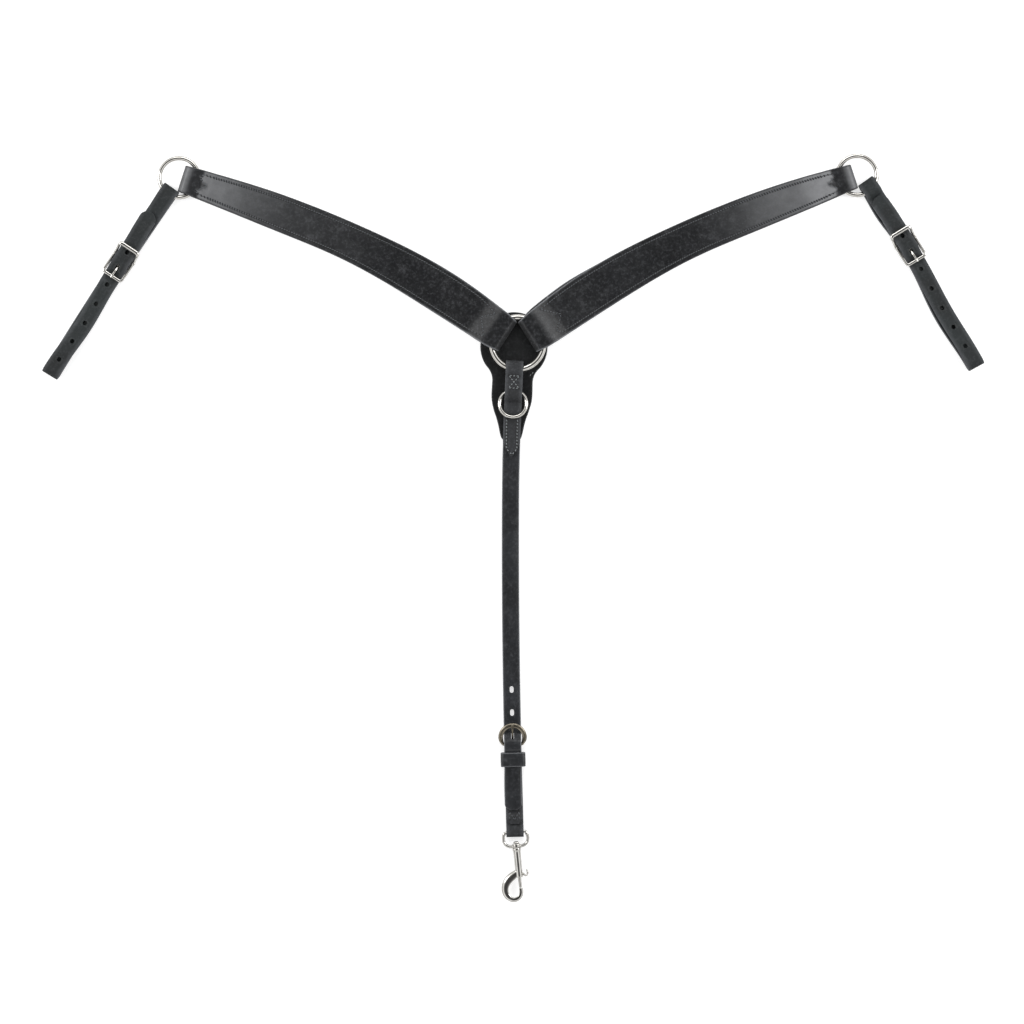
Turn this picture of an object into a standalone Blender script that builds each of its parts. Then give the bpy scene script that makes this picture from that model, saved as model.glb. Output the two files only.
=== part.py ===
# Breast collar lying flat: straps fold round rings, buckle and snap, as sewn leather does.
# Sizes are millimetres until write_mesh turns them into metres.
# X runs across the horse's chest, Y up towards the neck, Z out of the floor it lies on.

import bmesh
import bpy
from math import acos, asin, ceil, cos, pi, radians, sin, sqrt, tan
from mathutils import Matrix, Vector

METRES_PER_MM = 0.001
GAP = 0.3

# Leather
PLY = 3.0
SKIVED = 1.6
TAB_PLY = 2.5
KEEPER_PLY = 2.2
EDGE_CHAMFER = 0.6
SAME_POINT = 0.01
CAST_CREASE = 60
STRAP_WIDTH = 19.05

# Rings: bore and wire
CENTER_BORE = 50.8
CENTER_WIRE = 6.35
SIDE_BORE = 38.1
SIDE_WIRE = 5.0
SMALL_BORE = 25.4
SMALL_WIRE = 4.0

# Chest straps: track headings in degrees, reach is from the ring's centre to the fold's edge
CHEST_FOLD_HEADING = {"left": 147.1, "right": 32.0}
CHEST_REACH = {"left": 13.2, "right": 12.2}
CHEST_LEAD_TURN = {"left": -3.3, "right": 4.6}
CHEST_LEAD_LENGTH = 30.0
CHEST_INNER_LENGTH = 215.0
CHEST_INNER_TURN = 14.2
CHEST_OUTER_LENGTH = {"left": 155.8, "right": 158.4}
CHEST_OUTER_TURN = 4.3
CHEST_HALF_WIDTHS = [(0, 19.0), (16, 21.6), (90, 23.8), (200, 20.8), (290, 19.9), (350, 17.6)]
CHEST_SIDE_FOLD = {"left": 14.8, "right": 13.6}
CHEST_RETURN = 44.0
SIDE_REACH = {"left": 3.0, "right": 3.2}
CENTER_RUN_DOWN = 19.0
SIDE_RUN_DOWN = 11.5
CHEST_TO_FLOOR = 70.0
CHEST_SWING = 25.0

# Guard behind the centre ring: half outline, each (along the drop strap, half width)
GUARD_ROUND = 37.0
GUARD_ROUND_CENTER = 3.6
GUARD_NECK = 22.3
GUARD_NECK_START = 42.0
GUARD_NECK_END = 70.0
GUARD_TIP = 10.5
GUARD_LENGTH = 105.0
GUARD_SHIFT = -1.6

# Drop strap
DROP_SIDESTEP = -2.4
DROP_TILT = 2.4
DROP_STRAIGHT = 80.0
DROP_SHORT_BOW = (90.0, 2.1)
DROP_LONG_BOW = (300.0, 1.8)
DROP_REACH = 19.0
DROP_POINT = 124.0
DROP_POINT_TAPER = 14.0
DROP_SWING = 10.0
DROP_RISE = 17.0
DROP_CREST = 3.5
SMALL_RING_AT = 51.9
SMALL_RING_FLIP = 140.0
POCKET_RADIUS = 6.8
POCKET_BACK = 5.4
POCKET_FRONT = 7.6
POCKET_RAMP = 5.0
VALLEY_AT = 39.6
VALLEY_LOW = 6.6
HOLE_LENGTH = 7.4
HOLE_WIDTH = 4.0
HOLE_PITCH = 25.4

# Drop buckle and tab
DROP_BAR_AT = 441.0
DROP_BAR = 3.4
DROP_FRAME_REACH = 20.7
DROP_FRAME_HALF = 13.1
DROP_FRAME_FLAT = 5.2
DROP_FRAME_THICK = 2.4
DROP_FRAME_SLOPE = 0.2
DROP_TONGUE_SLOPE = 32.0
DROP_HOLE_FROM_BAR = 9.2
TONGUE_WIDE = 2.2
TONGUE_THICK = 1.5
TONGUE_PLAY = 0.15
TONGUE_PAST_FRAME = 1.6
TONGUE_LIFT = 5.0
BILLET_PAST_BAR = 72.0
TAB_END = 102.0
TAB_FRONT_END = 87.0
KEEPER_AT = 9.0
KEEPER_LENGTH = 15.5
KEEPER_SIDE_ROOM = 1.9
KEEPER_TRAVEL = 38.0

# Bolt snap, along its own shaft from the eye's bar
SNAP_SKEW = 4.2
SNAP_FOLD = 110.0
EYE_WIRE = 3.6
EYE_HALF = 12.9
EYE_HUB = 4.6
EYE_HUB_FROM = 12.8
EYE_HUB_TO = 17.0
STEM = 4.0
STEM_HEAD = 6.4
STEM_HEAD_LENGTH = 2.4
COLLAR = 9.2
COLLAR_LENGTH = 3.6
BARREL = 8.0
BARREL_FROM = 22.6
BARREL_TO = 49.6
BORE = 4.6
BORE_FROM = 25.2
BOLT = 3.6
BOLT_FROM = 38.0
BOLT_TO = 61.2
BOLT_TRAVEL = 8.0
KNOB_FROM = 41.4
KNOB_LENGTH = 6.6
KNOB_NECK = 2.0
HOOK_LEFT = 17.1
HOOK_BOTTOM = 73.8
HOOK_DEPTH = 6.0
HOOK_WIDTHS = [(0, 3.2), (0.1, 4.4), (0.22, 4.6), (0.36, 4.1), (0.5, 3.5), (0.7, 2.6), (1, 2.2)]
SPRING_WIRE = 0.55
SPRING_COIL = 3.3
SPRING_TURNS = 6

# Tug straps
TUG_HEADING = {"left": 234.9, "right": 305.5}
TUG_SIDESTEP = {"left": 0.0, "right": 3.8}
TUG_UPPER_BOW = {"left": (110.0, 1.6), "right": (110.0, -5.0)}
TUG_LOWER_BOW = {"left": (150.0, 2.2), "right": (139.0, -2.0)}
TUG_BAR_AT = {"left": 107.0, "right": 90.0}
TUG_LENGTH = {"left": 260.0, "right": 249.0}
TUG_REACH = {"left": 13.1, "right": 9.9}
TUG_BACK_UPPER_SWAY = {"left": 0.0, "right": -2.5}
TUG_BACK_LOWER_SWAY = {"left": 0.0, "right": -4.3}
TUG_FRONT_LOWER_SWAY = {"left": 2.6, "right": -1.6}
TUG_TAIL_SWAY = {"left": -2.5, "right": 0.0}
TUG_LOOP_HEIGHT = 8.0
TUG_LOOP_CREST = 27.0
TUG_LOOP_RUN = 68.0
TUG_SWING = 95.0
TUG_HOLE_FROM_BAR = 12.9
TUG_SPARE_HOLE_FROM_BAR = -7.0
TUG_OPEN_HOLES = 5
TUG_OPEN_HOLES_FROM_BAR = 34.7
TUG_HOLE_PITCH = 24.4
TUG_TONGUE_SLOPE = 20.0
TUG_BAR = 3.0
TUG_FOOT = 2.7
TUG_TOP = 3.7
TUG_RAIL = 3.0
TUG_FOOT_AT = 24.0
TUG_TOP_AT = 12.2
TUG_RAIL_ROOM = 0.4
TUG_FOOT_RISE = 21.5
TUG_CREST = 7.5
TUG_STUB = 31.0
TUG_STEP = 34.0
TUG_BILLET = 58.0
STEP_RUN = 10.0
STEP_LAG = 1.2


def ply_height(count, ply=PLY, base=0.0):
    """Middle height of a ply that lies on count others."""
    return base + count * (ply + GAP) + ply / 2


LIFT = PLY + GAP
CENTER_RING_HEIGHT = LIFT + PLY + GAP + CENTER_WIRE / 2
SIDE_RING_HEIGHT = PLY + GAP + SIDE_WIRE / 2


def smoothstep(low, high, value):
    t = min(max((value - low) / (high - low), 0.0), 1.0)
    return t * t * (3 - 2 * t)


class Track:
    """Plan of a strap: a start, a heading and legs of (length, turn), where a leg that turns is an arc."""

    def __init__(self, start, heading, legs):
        self.legs = []
        point = Vector(start)
        for length, turn in legs:
            self.legs.append((point, heading, length, turn))
            point, heading = self.step(point, heading, length, turn, length)
        self.end = (point, heading)

    def step(self, point, heading, length, turn, along):
        bend = turn * along / length
        chord = along if abs(bend) < 1e-9 else 2 * length / turn * sin(bend / 2)
        middle = heading + bend / 2
        return point + chord * Vector((cos(middle), sin(middle))), heading + bend

    def at(self, along):
        if along < 0:
            point, heading, _, _ = self.legs[0]
            return point + along * Vector((cos(heading), sin(heading))), heading
        for point, heading, length, turn in self.legs:
            if along <= length:
                return self.step(point, heading, length, turn, along)
            along -= length
        point, heading = self.end
        return point + along * Vector((cos(heading), sin(heading))), heading

    def frame(self, along, height=0.0):
        """Local axes on the strap: X along it, Y to its left, Z up."""
        point, heading = self.at(along)
        return Matrix.Translation((point.x, point.y, height)) @ Matrix.Rotation(heading, 4, "Z")


def width_profile(stations):
    """Half width along a strap, eased between the stations by a Hermite curve."""

    def slope(i):
        low, high = stations[max(i - 1, 0)], stations[min(i + 1, len(stations) - 1)]
        return (high[1] - low[1]) / (high[0] - low[0])

    def half_width(along):
        if along <= stations[0][0]:
            return stations[0][1]
        for i in range(len(stations) - 1):
            (a, low), (b, high) = stations[i], stations[i + 1]
            if along <= b:
                t, span = (along - a) / (b - a), b - a
                return (
                    low * (1 + 2 * t) * (1 - t) ** 2 + high * t * t * (3 - 2 * t)
                    + slope(i) * span * t * (1 - t) ** 2 - slope(i + 1) * span * t * t * (1 - t)
                )
        return stations[-1][1]

    return half_width


def rounded_path(corners, arc_step=radians(30), longest=20.0):
    """Corners are (along, height, radius, ply); each becomes an arc. Gives (along, height, ply, sideways)."""
    points = [Vector((corners[0][0], corners[0][1], corners[0][3], 0))]
    for before, corner, after in zip(corners, corners[1:], corners[2:]):
        here = Vector(corner[:2])
        back, ahead = Vector(before[:2]) - here, Vector(after[:2]) - here
        back.normalize()
        ahead.normalize()
        half = acos(max(-1.0, min(1.0, back.dot(ahead)))) / 2
        radius = corner[2]
        if radius == 0 or half > pi / 2 - 1e-4:
            points.append(Vector((here.x, here.y, corner[3], 0)))
            continue
        middle = here + (back + ahead).normalized() * radius / sin(half)
        first = here + back * radius / tan(half) - middle
        turn = (pi - 2 * half) * (1 if back.x * ahead.y - back.y * ahead.x < 0 else -1)
        count = max(1, ceil(abs(turn) / arc_step))
        for i in range(count + 1):
            spoke = Matrix.Rotation(turn * i / count, 2) @ first
            points.append(Vector((middle.x + spoke.x, middle.y + spoke.y, corner[3], 0)))
    points.append(Vector((corners[-1][0], corners[-1][1], corners[-1][3], 0)))
    path = [points[0]]
    for point in points[1:]:
        if (point.xy - path[-1].xy).length < SAME_POINT:
            continue
        parts = max(1, ceil((point.xy - path[-1].xy).length / longest))
        start = path[-1]
        path.extend(start.lerp(point, i / parts) for i in range(1, parts + 1))
    return path


def tip_stations(path, length, steps=4):
    """Adds stations inside a strap's tip so that its outline can round off."""
    first, second = path[0], path[1]
    span = (second.xy - first.xy).length
    extra = [length * (i / steps) ** 2 for i in range(1, steps + 1)]
    return [first] + [first.lerp(second, e / span) for e in extra if e < span - 0.4] + path[1:]


def oval_tip(half, length, blunt):
    """Length of a rounded end, and its half width against the distance from the end."""
    return length, lambda d: half * sqrt(max(blunt**2, 1 - (1 - min(d / length, 1.0)) ** 2))


def point_tip(half, length, blunt=0.14):
    return length, lambda d: half * min(1.0, blunt + (1 - blunt) * d / length)


def ribbon(track, path, half_width, lift=None, start_tip=None, end_tip=None):
    """A strap: the path is its ply seen from the side, the track its plan."""
    if start_tip:
        path = tip_stations(path, start_tip[0])
    if end_tip:
        path = tip_stations(path[::-1], end_tip[0])[::-1]
    run = [0.0]
    for a, b in zip(path, path[1:]):
        run.append(run[-1] + (b.xy - a.xy).length)
    bm = bmesh.new()
    loops = []
    for i, point in enumerate(path):
        ahead = path[min(i + 1, len(path) - 1)].xy - point.xy
        behind = point.xy - path[max(i - 1, 0)].xy
        tangent = (ahead.normalized() + behind.normalized()).normalized()
        normal = Vector((-tangent.y, tangent.x))
        half = half_width(point.x)
        if start_tip:
            half = min(half, start_tip[1](run[i]))
        if end_tip:
            half = min(half, end_tip[1](run[-1] - run[i]))
        thick = point.z / 2
        cut = min(EDGE_CHAMFER, half / 2, thick / 2)
        ring = []
        for across, out in (
            (half - cut, thick), (half, thick - cut), (half, cut - thick), (half - cut, -thick),
            (cut - half, -thick), (-half, cut - thick), (-half, thick - cut), (cut - half, thick),
        ):
            along = point.x + normal.x * out
            height = point.y + normal.y * out
            spot, heading = track.at(along)
            place = spot + (across + point.w) * Vector((-sin(heading), cos(heading)))
            rise = lift(place) if lift else 0.0
            ring.append(bm.verts.new((place.x, place.y, height + rise)))
        loops.append(ring)
    skin(bm, loops)
    return bm


def skin(bm, loops, closed=False):
    """Faces between the loops of points, with caps at the ends of an open run."""
    pairs = list(zip(loops, loops[1:] + loops[:1] if closed else loops[1:]))
    for low, high in pairs:
        for k in range(len(low)):
            bm.faces.new((low[k], low[k - 1], high[k - 1], high[k]))
    if not closed:
        bm.faces.new(loops[0])
        bm.faces.new(loops[-1][::-1])
    bmesh.ops.recalc_face_normals(bm, faces=bm.faces)


def tube(points, sizes, axis, closed=False, sides=10):
    """A bar along points; sizes are its (half across, half along axis) at each point."""
    bm = bmesh.new()
    loops = []
    count = len(points)
    for i, point in enumerate(points):
        before = points[i - 1] if closed or i else point
        after = points[(i + 1) % count] if closed or i < count - 1 else point
        tangent = (after - before).normalized()
        side = tangent.cross(axis).normalized()
        up = side.cross(tangent)
        half_side, half_up = sizes[i]
        loops.append([
            bm.verts.new(point + side * half_side * cos(2 * pi * k / sides) + up * half_up * sin(2 * pi * k / sides))
            for k in range(sides)
        ])
    skin(bm, loops, closed)
    return bm


def ring_mesh(bore, wire, steps, sides):
    radius = (bore + wire) / 2
    points = [Vector((radius * cos(2 * pi * i / steps), radius * sin(2 * pi * i / steps), 0)) for i in range(steps)]
    return tube(points, [(wire / 2, wire / 2)] * steps, Vector((0, 0, 1)), closed=True, sides=sides)


def turned(profile, sides=16):
    """A round piece about X; the profile is (along, radius)."""
    bm = bmesh.new()
    loops = [
        [bm.verts.new((x, r * cos(2 * pi * k / sides), r * sin(2 * pi * k / sides))) for k in range(sides)]
        for x, r in profile
    ]
    skin(bm, loops)
    return bm


def block(low, high):
    bm = bmesh.new()
    bmesh.ops.create_cube(bm, size=1.0)
    low, high = Vector(low), Vector(high)
    middle = (low + high) / 2
    size = high - low
    bmesh.ops.transform(bm, verts=bm.verts, matrix=Matrix.Translation(middle) @ Matrix.Diagonal((*size, 1)))
    return bm


def slot_cutter(along, length, width, low, high, corner_steps=3):
    """An upright cutter with round ends, in a strap's local axes."""
    bm = bmesh.new()
    half = length / 2 - width / 2
    outline = []
    for end, start in ((1, -pi / 2), (-1, pi / 2)):
        for k in range(corner_steps + 1):
            angle = start + pi * k / corner_steps
            outline.append((along + end * half + width / 2 * cos(angle), width / 2 * sin(angle)))
    loops = [[bm.verts.new((x, y, z)) for x, y in outline] for z in (low, high)]
    skin(bm, loops)
    return bm


def plate(outline, low, high):
    bm = bmesh.new()
    loops = [[bm.verts.new((x, y, z)) for x, y in outline] for z in (low, high)]
    skin(bm, loops)
    return bm


def make_material(name, color, roughness, metallic):
    material = bpy.data.materials.new(name)
    material.use_nodes = True
    shader = next(n for n in material.node_tree.nodes if n.type == "BSDF_PRINCIPLED")
    shader.inputs["Base Color"].default_value = (*color, 1)
    shader.inputs["Roughness"].default_value = roughness
    shader.inputs["Metallic"].default_value = metallic
    material.diffuse_color = (*color, 1)
    return material


FINISHES = {
    "harness_leather": ((0.028, 0.029, 0.031), 0.42, 0.0),
    "lining_leather": ((0.035, 0.034, 0.034), 0.55, 0.0),
    "nickel_plate": ((0.66, 0.65, 0.62), 0.16, 1.0),
    "brassy_plate": ((0.33, 0.30, 0.25), 0.3, 1.0),
    "spring_steel": ((0.45, 0.45, 0.46), 0.3, 1.0),
}


def body(name, frame, parent=None):
    """An empty on a joint's axis; the pieces that move with it are its children."""
    empty = bpy.data.objects.new(name, None)
    bpy.context.scene.collection.objects.link(empty)
    frame = frame.copy()
    frame.translation *= METRES_PER_MM
    empty.parent = parent
    empty.matrix_basis = (world(parent).inverted() @ frame) if parent else frame
    return empty


def world(obj):
    matrix = obj.matrix_basis.copy()
    while obj.parent:
        obj = obj.parent
        matrix = obj.matrix_basis @ matrix
    return matrix


def write_mesh(name, bm, owner, frame=None, smooth=35):
    """Turns a mesh in millimetres into an object in metres under its body."""
    if frame:
        bm.transform(frame)
    bm.transform(world(owner).inverted() @ Matrix.Scale(METRES_PER_MM, 4))
    mesh = bpy.data.meshes.new(name)
    bm.to_mesh(mesh)
    bm.free()
    mesh.shade_smooth()
    mesh.set_sharp_from_angle(angle=radians(smooth))
    obj = bpy.data.objects.new(name, mesh)
    bpy.context.scene.collection.objects.link(obj)
    obj.parent = owner
    return obj


def piece(name, bm, finish, owner, frame=None, smooth=35):
    obj = write_mesh(name, bm, owner, frame, smooth)
    color, roughness, metallic = FINISHES[finish]
    obj.data.materials.append(make_material(name + "_" + finish, color, roughness, metallic))
    return obj


def combine(obj, operation, bm, frame=None):
    """Cuts a tool from an object, or joins it on."""
    tool = write_mesh(obj.name + "_tool", bm, obj.parent, frame)
    tool.hide_render = True
    tool.display_type = "WIRE"
    modifier = obj.modifiers.new(operation.title(), "BOOLEAN")
    modifier.operation = operation
    modifier.object = tool


def chest_track(side):
    heading = radians(CHEST_FOLD_HEADING[side])
    start = CHEST_REACH[side] * Vector((cos(heading), sin(heading)))
    turn = 1 if side == "left" else -1
    return Track(start, heading, [
        (CHEST_LEAD_LENGTH, radians(CHEST_LEAD_TURN[side])),
        (CHEST_INNER_LENGTH, turn * radians(CHEST_INNER_TURN)),
        (CHEST_OUTER_LENGTH[side], turn * radians(CHEST_OUTER_TURN)),
    ])


def chest_length(side):
    return CHEST_LEAD_LENGTH + CHEST_INNER_LENGTH + CHEST_OUTER_LENGTH[side]


def chest_path(side):
    """Outer ply from its sewn-down end at the centre ring, round both rings, to its other end."""
    length = chest_length(side)
    low, second = ply_height(0), ply_height(1)
    over_center = low + PLY + CENTER_WIRE + 2 * GAP
    over_side = low + PLY + SIDE_WIRE + 2 * GAP
    inner_wire = CENTER_BORE / 2 + CENTER_WIRE - CHEST_REACH[side]
    outer_wire = length - (SIDE_BORE / 2 + SIDE_WIRE - SIDE_REACH[side])
    inner_fold, outer_fold = (over_center - low) / 2, (over_side - low) / 2
    return rounded_path([
        (CHEST_RETURN, low, 0, PLY),
        (PLY / 2, low, inner_fold, PLY),
        (PLY / 2, over_center, inner_fold, PLY),
        (inner_wire + GAP + 1, over_center, 6, PLY),
        (inner_wire + GAP + 1 + CENTER_RUN_DOWN, second, 12, PLY),
        (outer_wire - GAP - 1 - SIDE_RUN_DOWN, second, 7, PLY),
        (outer_wire - GAP - 1, over_side, 4, PLY),
        (length - PLY / 2, over_side, outer_fold, PLY),
        (length - PLY / 2, low, outer_fold, PLY),
        (length - CHEST_RETURN, low, 0, PLY),
    ])


def chest_lift(place):
    """The straps lie on the guard at the ring and come down to the floor beyond it."""
    return LIFT * (1 - smoothstep(guard_radius() + 3, guard_radius() + CHEST_TO_FLOOR, place.length))


def guard_radius():
    return GUARD_ROUND + GUARD_ROUND_CENTER - GUARD_SHIFT


def build_chest(side, root):
    owner = body(side + "_chest", Matrix.Translation((0, 0, CENTER_RING_HEIGHT)), root)
    track = chest_track(side)
    length = chest_length(side)
    half = width_profile(CHEST_HALF_WIDTHS + [(length - 2, CHEST_SIDE_FOLD[side])])
    piece(side + "_chest_strap", ribbon(track, chest_path(side), half, chest_lift), "harness_leather", owner)
    ends = CHEST_RETURN + GAP
    path = rounded_path([(ends, ply_height(0), 0, PLY), (length - ends, ply_height(0), 0, PLY)])
    piece(side + "_chest_lining", ribbon(track, path, half, chest_lift), "lining_leather", owner)
    return owner, track


def build_side_ring(side, chest, track):
    frame = track.frame(chest_length(side) + SIDE_REACH[side], SIDE_RING_HEIGHT)
    owner = body(side + "_ring", frame, chest)
    piece(side + "_side_ring", ring_mesh(SIDE_BORE, SIDE_WIRE, 36, 8), "nickel_plate", owner, frame)
    return frame.translation


def tug_heights():
    """Heights in a tug strap's stack at its buckle."""
    heights = {"bar": PLY + GAP + SKIVED + GAP + TUG_BAR / 2}
    heights["over_bar"] = heights["bar"] + TUG_BAR / 2 + GAP + SKIVED / 2
    heights["billet"] = heights["over_bar"] + SKIVED / 2 + GAP + PLY / 2
    heights["foot"] = 2 * (PLY + GAP) + TUG_FOOT / 2
    heights["top"] = heights["billet"] + PLY / 2 + GAP + TUG_TOP / 2
    return heights


def tug_path(side):
    """From the stub under the front ply, round bar, ring and free loop, to the billet's tip."""
    bar, end = TUG_BAR_AT[side], TUG_LENGTH[side]
    low, second, third = ply_height(0), ply_height(1), ply_height(2)
    height = tug_heights()
    thin = PLY + GAP + SKIVED / 2
    bar_fold = (height["over_bar"] - thin) / 2
    over_wire = low + PLY + SIDE_WIRE + 2 * GAP
    wire_far = SIDE_BORE / 2 + SIDE_WIRE + GAP
    wire_fold = (over_wire - low) / 2
    loop_fold = (PLY + TUG_LOOP_HEIGHT) / 2
    loop_top = low + PLY + TUG_LOOP_HEIGHT
    fold = bar + TUG_BAR / 2 + GAP + SKIVED / 2
    resting = third + PLY + GAP
    path = rounded_path([
        (bar - TUG_STUB, second, 0, PLY),
        (bar - 13, second, 8, PLY),
        (bar - 6, thin, 8, SKIVED),
        (fold, thin, bar_fold, SKIVED),
        (fold, height["over_bar"], bar_fold, SKIVED),
        (bar - 6, height["over_bar"], 8, SKIVED),
        (bar - 14, third, 8, PLY),
        (bar - TUG_STEP, third, 8, PLY),
        (bar - TUG_STEP - STEP_RUN, second, 8, PLY),
        (wire_far + 6, second, 3, PLY),
        (wire_far + 1, over_wire, 3, PLY),
        (TUG_REACH[side] + PLY / 2, over_wire, wire_fold, PLY),
        (TUG_REACH[side] + PLY / 2, low, wire_fold, PLY),
        (end - PLY / 2, low, loop_fold, PLY),
        (end - PLY / 2, loop_top, loop_fold, PLY),
        (end - TUG_LOOP_CREST, loop_top, 40, PLY),
        (end - TUG_LOOP_RUN, second, 80, PLY),
        (bar + TUG_FOOT_RISE, second, 5, PLY),
        (bar + TUG_CREST, height["billet"], 5, PLY),
        (bar - 11, height["billet"], 12, PLY),
        (bar - 18, resting, 12, PLY),
        (bar - TUG_STEP - STEP_LAG, resting, 8, PLY),
        (bar - TUG_STEP - STEP_LAG - STEP_RUN, third, 8, PLY),
        (bar - TUG_BILLET, third, 0, PLY),
    ])
    ring_fold = min(range(len(path)), key=lambda i: path[i].x)
    loop_fold = max(range(len(path)), key=lambda i: path[i].x)
    for i, point in enumerate(path):
        if i > ring_fold:
            point.w = tug_sway(side, point.x, i > loop_fold)
    return path


def tug_sway(side, along, front):
    """How far a ply has slipped sideways: the back ply bows one way, the loop's front ply the other."""
    bar, reach, end = TUG_BAR_AT[side], TUG_REACH[side], TUG_LENGTH[side]
    if along > bar + TUG_FOOT_RISE:
        swell = sin(pi * (along - bar - TUG_FOOT_RISE) / (end - bar - TUG_FOOT_RISE)) ** 2
        return swell * (TUG_FRONT_LOWER_SWAY if front else TUG_BACK_LOWER_SWAY)[side]
    if front:
        return TUG_TAIL_SWAY[side] * smoothstep(TUG_TOP_AT, TUG_BILLET, bar - along)
    if along < bar:
        return TUG_BACK_UPPER_SWAY[side] * sin(pi * (along - reach) / (bar - reach)) ** 2
    return 0.0


def tongue_mesh(bar, height, reach, lie, slope):
    """A bent tongue: an eye round the bar, a rising shaft and a level tip. X runs from the bar to the tip."""
    eye = bar / 2 + TONGUE_PLAY + TONGUE_THICK / 2
    lie -= height
    start, leave = radians(50), radians(270) + slope
    points = [
        Vector((eye * cos(a), 0, eye * sin(a)))
        for a in (start + (leave - start) * i / 10 for i in range(11))
    ]
    foot = points[-1]
    bend = foot.x + (lie - foot.z) / tan(slope)
    corners = [(foot.x, foot.z, 0, 1), (bend, lie, 6, 1), (reach, lie, 0, 1)]
    shaft = rounded_path(corners, arc_step=radians(12), longest=30.0)
    points += [Vector((p.x, 0, p.y)) for p in shaft[1:]]
    thick, wide = TONGUE_THICK / 2, TONGUE_WIDE / 2
    sizes = [(thick, wide)] * (len(points) - 1) + [(thick * 0.7, wide * 0.75)]
    bm = tube(points, sizes, Vector((0, 1, 0)), sides=8)
    bm.transform(Matrix.Translation((0, 0, height)))
    return bm


def tug_frame_mesh(height):
    """Outer loop of the buckle: foot bar, side rails that crank up past the centre bar, and the keeper bar."""
    half = STRAP_WIDTH / 2 + TUG_RAIL_ROOM + TUG_RAIL / 2
    corner = 3.0
    profile = [(TUG_FOOT_AT, height["foot"]), (0, height["bar"]), (-TUG_TOP_AT, height["top"])]

    def rail_height(x):
        if x >= 0:
            return height["bar"] + (height["foot"] - height["bar"]) * smoothstep(0, TUG_FOOT_AT, x)
        return height["bar"] + (height["top"] - height["bar"]) * smoothstep(0, TUG_TOP_AT, -x)

    def rail_size(x):
        t = (x + TUG_TOP_AT) / (TUG_FOOT_AT + TUG_TOP_AT)
        return TUG_TOP / 2 * (1 - t) + TUG_FOOT / 2 * t

    plan = []
    foot, top = profile[0][0], profile[-1][0]
    for cx, cy, start in ((foot - corner, half - corner, 0), (top + corner, half - corner, 90),
                          (top + corner, corner - half, 180), (foot - corner, corner - half, 270)):
        for k in range(4):
            angle = radians(start + 30 * k)
            plan.append((cx + corner * cos(angle), cy + corner * sin(angle)))
        if start in (0, 180):
            stations = (16, 10, 4, 0, -4, -7)
            plan += [(x, half if start == 0 else -half) for x in (stations if start == 0 else stations[::-1])]
    points = [Vector((x, y, rail_height(x))) for x, y in plan]
    sizes = [(rail_size(x), rail_size(x)) for x, y in plan]
    return tube(points, sizes, Vector((0, 0, 1)), closed=True, sides=8)


def tug_track(side, ring_place):
    heading = radians(TUG_HEADING[side])
    sideways = Vector((-sin(heading), cos(heading), 0)) * TUG_SIDESTEP[side]
    bows = [(length, radians(turn)) for length, turn in (TUG_UPPER_BOW[side], TUG_LOWER_BOW[side])]
    return Track((ring_place + sideways).xy, heading, bows)


def build_tug(side, chest, ring_place):
    track = tug_track(side, ring_place)
    owner = body(side + "_tug", Matrix.Translation(ring_place), chest)
    height = tug_heights()
    half = STRAP_WIDTH / 2
    strap = ribbon(track, tug_path(side), lambda s: half, end_tip=oval_tip(half, 9, 0.3))
    strap = piece(side + "_tug_strap", strap, "harness_leather", owner)
    bar = TUG_BAR_AT[side]
    under_billet = height["over_bar"] + SKIVED / 2 + GAP / 2
    over_low = PLY + GAP / 2
    spots = [(bar + TUG_OPEN_HOLES_FROM_BAR + TUG_HOLE_PITCH * i, over_low) for i in range(TUG_OPEN_HOLES)]
    spots += [(bar + TUG_HOLE_FROM_BAR, over_low), (bar + TUG_SPARE_HOLE_FROM_BAR, under_billet)]
    for along, low in spots:
        frame = track.frame(along) @ Matrix.Translation((0, tug_sway(side, along, True), 0))
        combine(strap, "DIFFERENCE", slot_cutter(0, HOLE_LENGTH, HOLE_WIDTH, low, 30), frame)
    at_bar = track.frame(bar)
    slot = block((-6, -TONGUE_WIDE, over_low), (5, TONGUE_WIDE, under_billet))
    combine(strap, "DIFFERENCE", slot, at_bar)
    buckle = piece(side + "_tug_buckle", tug_frame_mesh(height), "nickel_plate", owner, at_bar, CAST_CREASE)
    rail = STRAP_WIDTH / 2 + TUG_RAIL_ROOM + TUG_RAIL / 2
    boss, reach = TUG_BAR / 2 + 0.9, rail + TUG_RAIL / 2 + 0.5
    ends = [(-reach, boss - 0.5), (-reach + 0.7, boss), (0.6 - rail, boss), (0.6 - rail, TUG_BAR / 2)]
    bar_mesh = turned(ends + [(-x, r) for x, r in ends[::-1]], 12)
    bar_mesh.transform(Matrix.Translation((0, 0, height["bar"])) @ Matrix.Rotation(pi / 2, 4, "Z"))
    combine(buckle, "UNION", bar_mesh, at_bar)
    hinge = body(side + "_tongue", track.frame(bar, height["bar"]), owner)
    lie = height["foot"] + TUG_FOOT / 2 + GAP + TONGUE_THICK / 2
    reach = TUG_FOOT_AT + TONGUE_PAST_FRAME
    tongue = tongue_mesh(TUG_BAR, height["bar"], reach, lie, radians(TUG_TONGUE_SLOPE))
    piece(side + "_tug_tongue", tongue, "nickel_plate", hinge, at_bar)
    return track


def drop_track():
    heading = radians(-90 - DROP_TILT)
    start = Vector((DROP_SIDESTEP, 0))
    bows = [(length, radians(turn)) for length, turn in (DROP_SHORT_BOW, DROP_LONG_BOW)]
    return Track(start, heading, [(DROP_STRAIGHT, 0.0)] + bows)


def drop_lift_along(along):
    return LIFT * (1 - smoothstep(GUARD_LENGTH + 2, GUARD_LENGTH + 40, along))


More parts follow.
